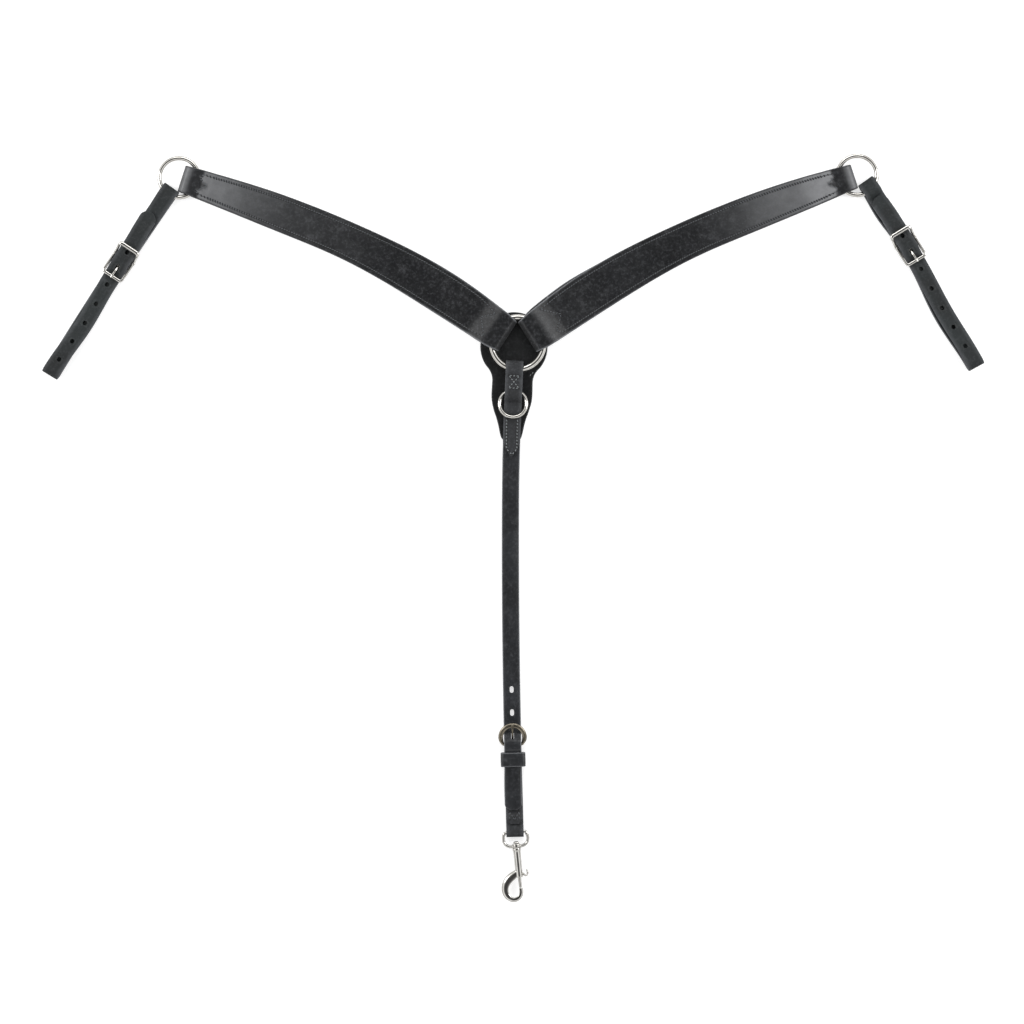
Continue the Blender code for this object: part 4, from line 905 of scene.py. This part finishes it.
def buckleTug(side):
    own, body = tug[side], side + "_tug"
    heading, bar = radians(own["heading"]), own["bar"]
    start = (ringPlaces[side] + Vector((-sin(heading), cos(heading), 0)) * own["aside"]).xy
    plan = makePlan(start, heading, [(length, radians(turn)) for length, turn in own["bows"]])
    strap = layStrap(plan, tugSidePath(own), narrow, strapFace, endTip=ovalTip(narrowHalf, 9, 0.3))
    strap = addPiece(side + "_tug_leather", strap, tugLeather, body, side + "_tug_strap")
    underBillet, overLow = tugHeight["overBar"] + skived / 2 + gap / 2, ply + gap / 2
    spots = [(bar + tug["openFrom"] + tug["pitch"] * i, overLow) for i in range(tug["openHoles"])]
    spots += [(bar + tug["holeFromBar"], overLow), (bar + tug["spareHole"], underBillet)]
    spots = [(planFrame(plan, along) @ Matrix.Translation((0, tugSway(own, along, True), 0)), low)
             for along, low in spots]
    filled = spots.pop(tug["openHoles"])  # the tongue stands in this one
    cutFrom(strap, punchMesh(hole, [filled]))
    cutFrom(strap, punchMesh(spareHole, spots))
    atBar = planFrame(plan, bar)
    cutFrom(strap, blockMesh((-6, -tongue["wide"], overLow), (5, tongue["wide"], underBillet)), atBar)
    buckle = addPiece(side + "_tug_buckle_casting", joinMeshes([tugFrameMesh(), tugBarMesh()]), nickelCasting, body,
                      side + "_tug_buckle", atBar)
    castTogether(buckle)
    lie = tugHeight["foot"] + tug["foot"] / 2 + gap + tongue["thick"] / 2
    wire = tongueMesh(tug["barWire"], tugHeight["bar"], tug["footAt"] + tongue["pastFrame"], lie,
                      radians(tug["tongueSlope"]))
    addPiece(side + "_tug_tongue_wire", wire, nickelPlate, side + "_tongue", side + "_tug_tongue", atBar)


for side in ("left", "right"):
    buckleTug(side)
print("tug straps buckled")

# measured down the strap from the middle of the centre ring
drop = {
    "sidestep": -2.4, "tilt": 2.4, "legs": ((80.0, 0.0), (90.0, 2.1), (300.0, 1.8)), "reach": 19.0, "point": 124.0,
    "taper": 14.0, "rise": 17.0, "crest": 3.5, "billet": 72.0, "billetAside": -1.0,
    "smallRingAt": 51.9, "pocketRadius": 6.8, "pocketBack": 5.4, "pocketFront": 7.6, "pocketRamp": 5.0,
    "valleyAt": 39.6, "valleyLow": 8.2,
    "barAt": 441.0, "bar": 3.4, "frameReach": 20.7, "frameHalf": 13.1, "flat": 5.2, "thick": 2.4, "slope": 0.2,
    "tongueSlope": 32.0, "pitch": 25.4, "holeFromBar": 9.2,
    "box": (36.0, 49.6, 5.6),  # the crossed box that closes the fold: from, to, half width
    "pointSeam": [(83.4, -6.2), (116.2, -5.4), (122.6, 0.9), (116.1, 6.0), (83.2, 5.6)],
    "guardSeam": [(35.4, 16.6), (30.2, 21.4)],
}
# counted from the drop buckle's bar; the band is one edge of the keeper's section: (out, along, wear)
tab = {"end": 102.0, "frontEnd": 87.0, "keeperAt": 9.0, "keeperLength": 15.5, "sideRoom": 1.9, "keeperCorner": 1.5,
       "seam": (13.0, 4.2, 5.4)}  # from and to, short of the front end, and half width
eyeWire = 3.6
dropPlan = makePlan((drop["sidestep"], 0), radians(-90 - drop["tilt"]), [(s, radians(t)) for s, t in drop["legs"]])
dropTop = planFrame(dropPlan, 0)
bar = drop["barAt"]
base = keeperPly + gap
tabHeight = {"back": base + tabPly / 2, "thin": base + skived / 2, "bar": base + skived + gap + drop["bar"] / 2}
tabHeight["overBar"] = tabHeight["bar"] + drop["bar"] / 2 + gap + skived / 2
tabHeight["crest"] = tabHeight["overBar"] + skived / 2 + gap + ply / 2
tabHeight["front"] = tabHeight["back"] + tabPly + gap
tabHeight["frontTop"] = tabHeight["front"] + tabPly + gap
tabHeight["billet"] = tabHeight["front"] + tabPly / 2 + gap + ply / 2
tabHeight["eye"] = tabHeight["back"] + tabPly / 2 + gap + eyeWire / 2
tabHeight["overEye"] = tabHeight["eye"] + eyeWire / 2 + gap + tabPly / 2


def dropLift(place):
    along = (dropTop.inverted() @ place.to_3d()).x
    return guardLift * (1 - easeStep(guard["length"] + 2, guard["length"] + 40, along))


def guardOutline():
    radius, middle, neck, neckStart = pick(guard, "round middle neck neckStart")
    half = []
    for i in range(guard["roundSteps"] + 1):
        angle = radians(180 - guard["roundTurn"] * i / guard["roundSteps"])
        stretch = guard["top"] if cos(angle) < 0 else 1.0
        half.append((middle + radius * stretch * cos(angle), radius * sin(angle)))
    shoulder = half[-1]
    for i in range(1, guard["shoulderSteps"]):
        t = i / guard["shoulderSteps"]
        ease = 1 - (1 - t) ** 2.2
        half.append((shoulder[0] + (neckStart - shoulder[0]) * t, shoulder[1] + (neck - shoulder[1]) * ease))
    lower = easedCurve(guard["lower"])
    half += [(s, lower(s)) for s in range(42, 106, 2)] + guard["tip"]

    def aside(x):
        return guard["shift"] * (1 - 0.6 * easeStep(70, 105, x))

    return [(x, aside(x) + y) for x, y in half] + [(x, aside(x) - y) for x, y in half[:0:-1]]


def guardMesh():
    outline = [Vector(p) for p in guardOutline()]
    count = len(outline)
    inward = []
    for i in range(count):
        run = (outline[(i + 1) % count] - outline[i - 1]).normalized()
        inward.append(Vector((run.y, -run.x)))
    bm = bmesh.new()
    wearLayer = bm.verts.layers.float.new("edge")
    loops = []
    for inset, height, wear in guard["edge"]:
        loop = [bm.verts.new((*(point + into * inset), height)) for point, into in zip(outline, inward)]
        for vert in loop:
            vert[wearLayer] = wear
        loops.append(loop)
    skin(bm, loops)
    return bm


addPiece("guard_leather", guardMesh(), guardLeather, "drop", "ring_guard", dropTop)


def dropSidePath():
    # from the point, over the small ring and round the centre ring, down the back to the billet's end
    ringAt, back, front, valleyAt, valleyLow = pick(drop, "smallRingAt pocketBack pocketFront valleyAt valleyLow")
    crest, billet = pick(tabHeight, "crest billet")
    low, second = stackHeight(0), stackHeight(1)
    overCenter = low + ply + centerRing["wire"] + 2 * gap
    fold, foldAt = (overCenter - low) / 2, drop["reach"] + ply / 2
    wireFar = centerRing["bore"] / 2 + centerRing["wire"] + gap
    pocket = ply + gap + smallRing["wire"] / 2 + drop["pocketRadius"] + ply / 2
    path = sidePath([
        (drop["point"], second, 0), (ringAt + front + drop["pocketRamp"], second, 2.5), (ringAt + front, pocket, 5.5),
        (ringAt - back, pocket, 5.5), (valleyAt, valleyLow, 7.5), (wireFar + 0.8, overCenter, 2.5),
        (foldAt, overCenter, fold), (foldAt, low, fold), (bar - drop["rise"], low, 8), (bar - drop["crest"], crest, 5),
        (bar + 5.2, crest, 4), (bar + tab["keeperAt"] - 0.6, billet, 4), (bar + drop["billet"], billet, 0),
    ])
    for point in path:
        point.w = drop["billetAside"] * easeStep(bar + 10, bar + 50, point.x)
    return path


dropPath = dropSidePath()
dropStrap = layStrap(dropPlan, dropPath, narrow, strapFace, dropLift,
                     pointTip(narrowHalf, drop["taper"]), ovalTip(narrowHalf, 6.5, 0.45))
dropStrap = addPiece("drop_strap_leather", dropStrap, harnessLeather, "drop", "drop_strap")
farHole, openHole, filledHole, billetHole = (
    planFrame(dropPlan, bar - drop["holeFromBar"] + drop["pitch"] * i) for i in range(-2, 2))
overBarTop, under = tabHeight["overBar"] + skived / 2 + gap / 2, -5
cutFrom(dropStrap, punchMesh(dict(hole, width=hole["width"] + 0.3),
                             [(farHole, under), (openHole, under), (billetHole, overBarTop)]))
cutFrom(dropStrap, punchMesh(dict(hole, width=tongue["wide"] + 0.7), [(filledHole, under)]))

smallRadius = (smallRing["bore"] + smallRing["wire"]) / 2
smallPivot = planFrame(dropPlan, drop["smallRingAt"], guardLift + ply + gap + smallRing["wire"] / 2)
smallTilt = asin((ply + gap) / (2 * smallRadius))  # it leans on the strap that it hangs from
smallFrame = smallPivot @ Matrix.Rotation(-smallTilt, 4, "Y") @ Matrix.Translation((smallRadius, 0, 0))
addPiece("welded_small_ring", ringMesh(smallRing, 104), nickelPlate, "small_ring", "small_ring", smallFrame)

boxFrom, boxTo, boxSide = drop["box"]
dropSeams = [[(boxFrom, -boxSide), (boxFrom, boxSide)], [(boxTo, boxSide), (boxTo, -boxSide)],
             [(boxFrom, -boxSide), (boxTo, boxSide)], [(boxFrom, boxSide), (boxTo, -boxSide)], drop["pointSeam"]]
sewOn("drop_stitching", dropSeams, topSurface(dropPlan, dropPath, dropLift), greyThread, "drop")
sewOn("guard_stitching", [drop["guardSeam"]], lambda along, across: dropTop @ Vector((along, across, ply)),
      greyThread, "drop")
print("drop strap folded")


def dropFrameMesh():
    # a round heel bar that spreads into a flat bow; X runs from the bar up the strap
    half, wire, flat, thick = pick(drop, "frameHalf bar flat thick")
    heel, rise = narrowHalf + 2 * gap, drop["frameReach"] - half
    sideRun = [(0, heel / 2), (0, heel - 0.8), (0.5, heel + 0.4), (1.6, heel + 1.2), (rise * 0.6, half - 0.5)]
    arc = [pi / 2 - pi * k / 12 for k in range(13)]
    bow = [(rise + half * cos(a), half * sin(a)) for a in arc]
    outline = [(0, 0)] + sideRun + bow + [(x, -y) for x, y in sideRun[::-1]]
    points, sizes = [], []
    for x, y in outline:
        t = easeStep(0.5, 6, x)
        points.append(Vector((x, y, tabHeight["bar"] + drop["slope"] * x)))
        sizes.append((wire / 2 * (1 - t) + flat / 2 * t, wire / 2 * (1 - t) + thick / 2 * t))
    points, sizes = smoothRun(points, sizes, 0.9, closed=True)
    return wireMesh(points, sizes, closed=True, sides=24)


atDropBar = planFrame(dropPlan, bar) @ Matrix.Rotation(pi, 4, "Z")
addPiece("drop_buckle_casting", dropFrameMesh(), agedPlate, "drop", "drop_buckle_frame", atDropBar)
bowTop = tabHeight["bar"] + drop["slope"] * (drop["frameReach"] + drop["flat"] / 2) + drop["thick"] / 2
dropTongue = tongueMesh(drop["bar"], tabHeight["bar"], drop["frameReach"] + tongue["pastFrame"],
                        bowTop + gap + tongue["thick"] / 2, radians(drop["tongueSlope"]))
addPiece("drop_tongue_wire", dropTongue, agedPlate, "drop_tongue", "drop_buckle_tongue", atDropBar)

tabEnd, frontEnd = bar + tab["end"], bar + tab["frontEnd"]


def tabSidePath():
    # from its front end, round the heel bar and the snap's eye, to its other end under the front
    back, thin, overBar, front, frontTop, overEye = pick(tabHeight, "back thin overBar front frontTop overEye")
    foldAt, fold = drop["bar"] / 2 + gap + skived / 2, (overBar - thin) / 2
    eyeFoldAt, eyeFold = tabEnd - tabPly / 2, (overEye - back) / 2
    keeperAt = bar + tab["keeperAt"]
    return sidePath([
        (frontEnd, frontTop, 0), (frontEnd - 7.5, frontTop, 4), (frontEnd - 13, front, 4), (keeperAt - 2, front, 4),
        (bar + 3.5, overBar, 3, skived), (bar - foldAt, overBar, fold, skived), (bar - foldAt, thin, fold, skived),
        (bar + 5, thin, 8, skived), (keeperAt + 2, back, 8), (eyeFoldAt, back, eyeFold), (eyeFoldAt, overEye, eyeFold),
        (tabEnd - 8.0, overEye, 2), (tabEnd - 13.5, front, 2.5), (frontEnd - 5.5, front, 0),
    ], tabPly)


tabPath = tabSidePath()
snapTab = layStrap(dropPlan, tabPath, narrow, strapFace, startTip=ovalTip(narrowHalf, 5.5, 0.5))
snapTab = addPiece("snap_tab_leather", snapTab, harnessLeather, "drop", "snap_tab")
cutFrom(snapTab, blockMesh((-5.5, -tongue["wide"], -1), (6, tongue["wide"], overBarTop)), planFrame(dropPlan, bar))
sewFrom, sewTo, sewSide = frontEnd - tab["seam"][0], frontEnd - tab["seam"][1], tab["seam"][2]
tabSeam = [(sewTo, -sewSide), (sewFrom, -sewSide), (sewTo, 0.0), (sewFrom, sewSide), (sewTo, sewSide)]
sewOn("tab_stitching", [tabSeam], topSurface(dropPlan, tabPath), blackThread, "drop")


def keeperMesh():
    # a leather band closed into a loop round the tab and the billet
    corner, length, thick = tab["keeperCorner"], tab["keeperLength"], keeperPly
    low, high = tabHeight["back"] - tabPly / 2 - gap + corner, tabHeight["billet"] + ply / 2 + gap - corner
    room = narrowHalf + tab["sideRoom"] - corner
    band = [(0, 0.4, 0.6), (0.25, 0.1, 0.9), (0.9, 0.0, 1.0), (thick - 0.9, 0.0, 1.0), (thick - 0.3, 0.12, 1.0),
            (thick, 0.6, 0.6), (thick, 1.3, 0.1), (thick - 0.12, 1.9, 0.0), (thick, 2.5, 0.0),
            (thick + 0.08, length / 2, 0.0)]
    bm = bmesh.new()
    wearLayer = bm.verts.layers.float.new("edge")
    rings = []
    for out, along, wear in band + [(out, length - along, wear) for out, along, wear in band[-2::-1]]:
        ring = []
        for y, z, start in ((room, high, 0), (-room, high, 90), (-room, low, 180), (room, low, 270)):
            ring += [bm.verts.new((along, *spot)) for spot in cornerArc(y, z, corner + out, start)]
        for vert in ring:
            vert[wearLayer] = wear
        rings.append(ring)
    skin(bm, rings, closed=True)
    return bm


addPiece("keeper_leather", keeperMesh(), harnessLeather, "keeper", "drop_keeper",
         planFrame(dropPlan, bar + tab["keeperAt"]))
print("drop buckle done")

# measured down the snap from the middle of its eye's bar, which lies in the tab's fold
snap = {
    "skew": 4.2, "eyeHalf": 12.9, "hub": 4.6, "hubFrom": 12.8, "hubTo": 17.0,
    "stem": 4.0, "head": 6.4, "headLength": 2.4, "collar": 9.2, "collarLength": 3.6,
    "barrel": 8.0, "barrelFrom": 22.6, "barrelTo": 49.6, "bore": 4.6, "boreFrom": 25.2,
    "bolt": 3.6, "boltFrom": 38.0, "boltTo": 61.2, "travel": 8.0, "knobFrom": 41.4, "knobLength": 6.6, "knobNeck": 2.0,
    "thumb": [(46.6, 4.9), (48.2, 6.2), (48.3, 8.0), (46.6, 9.2), (44.2, 9.3), (42.2, 8.6)],  # a curled thumb piece
    "thumbSizes": [(1.1, 1.9), (1.1, 2.3), (1.1, 2.6), (1.15, 2.6), (1.1, 2.4), (0.9, 2.0)],
    "hookLeft": 17.1, "hookBottom": 73.8, "hookDepth": 6.0,
    "hookWidths": [(0, 3.2), (0.1, 4.4), (0.22, 4.6), (0.36, 4.1), (0.5, 3.5), (0.7, 2.6), (1, 2.2)],
}
hubFrom, hubTo, hub, stem = pick(snap, "hubFrom hubTo hub stem")
barrel, barrelTo, bore, boreFrom = pick(snap, "barrel barrelTo bore boreFrom")
knobFrom, knobTo = snap["knobFrom"], snap["knobFrom"] + snap["knobLength"]


def eyeMesh():
    # a straight bar in the fold, shoulders, and sides that run together into the hub
    half, middle = snap["eyeHalf"], (hubFrom + hubTo) / 2
    side = [(0, half - 6), (0, half - 3.4), (0.9, half - 0.9), (3, half), (middle - 4.4, half),
            (middle - 2.4, half - 1), (middle + 0.5, half - 6), (middle + 0.8, 4)]
    outline = [(0, 0)] + side + [(x, -y) for x, y in side[::-1]]
    sizes = [(eyeWire / 2, eyeWire / 2)] * len(outline)
    points, sizes = smoothRun([Vector((x, y, 0)) for x, y in outline], sizes, 0.9, closed=True)
    return wireMesh(points, sizes, closed=True)


def hookMesh():
    # out of the barrel to the left, round the bottom and up to the bolt's nose
    bottom, left = snap["hookBottom"], snap["hookLeft"]
    knots = [(barrelTo - 6, -1.6), (barrelTo - 2.2, -6.8), (barrelTo + 1.8, -12), (barrelTo + 7.8, -left + 0.9),
             (bottom - 9.4, -left), (bottom - 3.4, -left + 2.4), (bottom, -9.5), (bottom - 0.5, -4.6), (bottom - 3.6, -1),
             (bottom - 8, 0.5), (snap["boltTo"] + gap, 0.3)]
    points, sizes = smoothRun([Vector((x, y, 0)) for x, y in knots], [(1, 1)] * len(knots), 0.8)
    widths = easedCurve(snap["hookWidths"])
    sizes = [widths(i / (len(points) - 1)) for i in range(len(points))]
    return wireMesh(points, [(wide, min(wide, snap["hookDepth"] / 2)) for wide in sizes], sides=36, flat=0.15)


eyeAt = tabEnd - tabPly - gap - eyeWire / 2 - 0.7
snapFrame = planFrame(dropPlan, eyeAt, tabHeight["eye"]) @ Matrix.Rotation(radians(snap["skew"]), 4, "Z")
hubRing = turnedMesh(brokenEdge(hubFrom, hub, 1) + brokenEdge(hubTo, hub, -1)[::-1])
snapEye = addPiece("snap_eye_casting", joinMeshes([eyeMesh(), hubRing]), nickelCasting, "snap_eye", "snap_eye",
                   snapFrame)
castTogether(snapEye)
cutFrom(snapEye, turnedMesh([(hubFrom - 3, stem / 2 + gap), (hubTo + 3, stem / 2 + gap)]), snapFrame)

head, headTo, collar = snap["head"] / 2, hubFrom - gap, snap["collar"] / 2
headFrom, collarFrom = headTo - snap["headLength"], hubTo + gap
collarTo = collarFrom + snap["collarLength"]
shaftProfile = [
    (headFrom, head - 1.4), (headFrom + 0.4, head - 0.7), (headFrom + 1.1, head - 0.15), (headTo, head),
    (headTo, stem / 2), (collarFrom, stem / 2), *brokenEdge(collarFrom, collar, 1), (collarTo - 0.9, collar),
    (collarTo - 0.2, collar - 0.4), (collarTo, barrel / 2 + 0.2), (snap["barrelFrom"], barrel / 2),
    (barrelTo - 0.5, barrel / 2), (barrelTo, barrel / 2 - 0.4),
]
snapBody = addPiece("snap_body_casting", joinMeshes([turnedMesh(shaftProfile), hookMesh()]), nickelCasting, "snap",
                    "snap_body", snapFrame)
castTogether(snapBody)
cutFrom(snapBody, turnedMesh([(boreFrom, bore / 2), (barrelTo + 4, bore / 2)]), snapFrame)
slotHalf = snap["knobNeck"] / 2 + gap
slot = blockMesh((knobFrom - snap["travel"] - gap, 0, -slotHalf), (knobTo + gap, barrel, slotHalf))
cutFrom(snapBody, slot, snapFrame)

boltFrom, boltTo, bolt, neckHalf = snap["boltFrom"], snap["boltTo"], snap["bolt"] / 2, snap["knobNeck"] / 2
rod = turnedMesh([(boltFrom, bolt - 0.2), (boltFrom + 0.3, bolt), (boltTo - 0.9, bolt), (boltTo - 0.3, bolt - 0.25),
                  (boltTo, bolt - 0.8)])
neck = blockMesh((knobFrom + 3.6, 0, -neckHalf), (knobTo, barrel / 2 + 1.2, neckHalf))
thumb, thumbSizes = smoothRun([Vector((x, y, 0)) for x, y in snap["thumb"]], snap["thumbSizes"], 0.4)
knob = wireMesh(thumb, thumbSizes, roundEnds=0.6)
snapBolt = addPiece("snap_bolt_and_knob", joinMeshes([rod, neck, knob]), nickelCasting, "bolt", "snap_bolt",
                    snapFrame)
castTogether(snapBolt, 0.22, 2)

spring = {"wire": 0.55, "coil": 3.3, "turns": 6, "perTurn": 16, "from": boreFrom + gap, "to": boltFrom - gap}


def springMesh():
    # an open coil between the barrel's end and the bolt
    radius, wire = spring["coil"] / 2, spring["wire"] / 2
    low, high = spring["from"] + wire, spring["to"] - wire
    points, steps = [], spring["perTurn"] * spring["turns"]
    for i in range(steps + 1):
        angle = 2 * pi * i / spring["perTurn"]
        points.append(Vector((low + (high - low) * i / steps, radius * cos(angle), radius * sin(angle))))
    return wireMesh(points, [(wire, wire)] * len(points), Vector((1, 0, 0)), sides=8)


coil = addPiece("coil_spring", springMesh(), springSteel, "snap", "snap_spring", snapFrame)
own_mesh(coil)
print("bolt snap cast")

# metres, and radiance for the softboxes; the sky is (height, grey) from the horizon up
studio = {
    "floor": "#cccccc", "floorHalf": 6.0, "floorDrop": 0.2 * mm, "floorGlow": 0.6, "bounce": 0.3,
    # dim walls, a bright band under the ceiling and a dark middle: they draw the outlines and the line down each wire
    "sky": [(0.0, 0.14), (0.2, 0.24), (0.38, 1.0), (0.5, 1.3), (0.75, 1.15), (0.88, 0.36), (0.99, 0.06)],
    # place, size, radiance
    "softboxes": {
        "left softbox": ((-1.6, 0.5, 1.25), (0.7, 1.3), 5.0),
        "right softbox": ((1.6, 0.5, 1.25), (0.7, 1.3), 5.0),
        "top softbox": ((0.0, 2.0, 1.4), (2.0, 0.7), 3.0),
    },
    "aim": (0, 0.05, 0),
}
# the photograph: its camera's distance and the object's depth in metres, its pixels, where the middle of the
# centre ring is in it, and millimetres to a pixel
photo = {"distance": 4.0, "depth": 0.006, "pixels": 1024, "ring": (517.7, 343.4), "scale": 1.1}


def placeCamera():
    camera = bpy.data.cameras.new("photo camera")
    camera.sensor_width = 36.0
    camera.lens = camera.sensor_width * (photo["distance"] - photo["depth"]) / (photo["pixels"] * photo["scale"] * mm)
    camera.clip_end = 50
    eye = bpy.data.objects.new("photo camera", camera)
    middle, scale = photo["pixels"] / 2, photo["scale"] * mm
    eye.location = (ringMiddle.x + (middle - photo["ring"][0]) * scale,
                    ringMiddle.y + (photo["ring"][1] - middle) * scale, photo["distance"])
    scene.collection.objects.link(eye)
    scene.camera = eye


def layFloor():
    # matt white paper; its glow is seen by the camera and in the metal, and lights nothing
    reach = studio["floorHalf"]
    mesh = bpy.data.meshes.new("floor")
    corners = [(-reach, -reach, 0), (reach, -reach, 0), (reach, reach, 0), (-reach, reach, 0)]
    mesh.from_pydata(corners, [], [(0, 1, 2, 3)])
    floor = bpy.data.objects.new("floor", mesh)
    floor.location.z = -studio["floorDrop"]
    scene.collection.objects.link(floor)
    material, tree, shader = newMaterial("white paper sweep", {"Base Color": linear(studio["floor"]), "Roughness": 0.9,
                                                               "IOR": 1.45, "Emission Color": grey(1.0)})
    rays = addNode(tree, "LightPath", {}).node.outputs
    mirrored = addNode(tree, "Math", {0: rays["Is Glossy Ray"], 1: rays["Is Transmission Ray"]}, operation="MAXIMUM")
    mirrored = addNode(tree, "Math", {0: mirrored, 1: studio["bounce"]}, operation="MULTIPLY")
    seen = addNode(tree, "Math", {0: rays["Is Camera Ray"], 1: studio["floorGlow"]}, operation="MULTIPLY")
    glow = addNode(tree, "Math", {0: seen, 1: mirrored}, operation="ADD")
    feed(shader, {"Emission Strength": glow})
    mesh.materials.append(material)


def lightStudio():
    world = bpy.data.worlds.new("studio")
    scene.world = world
    world.use_nodes = True
    tree = world.node_tree
    direction = addNode(tree, "TexCoord", {}, "Generated")
    height = addNode(tree, "SeparateXYZ", {"Vector": direction}, "Z")
    sky = addNode(tree, "ValToRGB", {"Fac": height}, stops=[(place, grey(value)) for place, value in studio["sky"]])
    feed(next(n for n in tree.nodes if n.type == "BACKGROUND"), {"Color": sky, "Strength": 1.0})
    for name, (place, size, radiance) in studio["softboxes"].items():
        light = bpy.data.lights.new(name, "AREA")
        light.shape = "RECTANGLE"
        light.size, light.size_y = size
        light.energy = radiance * pi * size[0] * size[1]
        lamp = bpy.data.objects.new(name, light)
        lamp.location = place
        lamp.rotation_mode = "QUATERNION"
        lamp.rotation_quaternion = (Vector(place) - Vector(studio["aim"])).to_track_quat("Z", "Y")
        scene.collection.objects.link(lamp)


placeCamera()
layFloor()
lightStudio()
scene.view_settings.view_transform = "Standard"
print("studio lit")
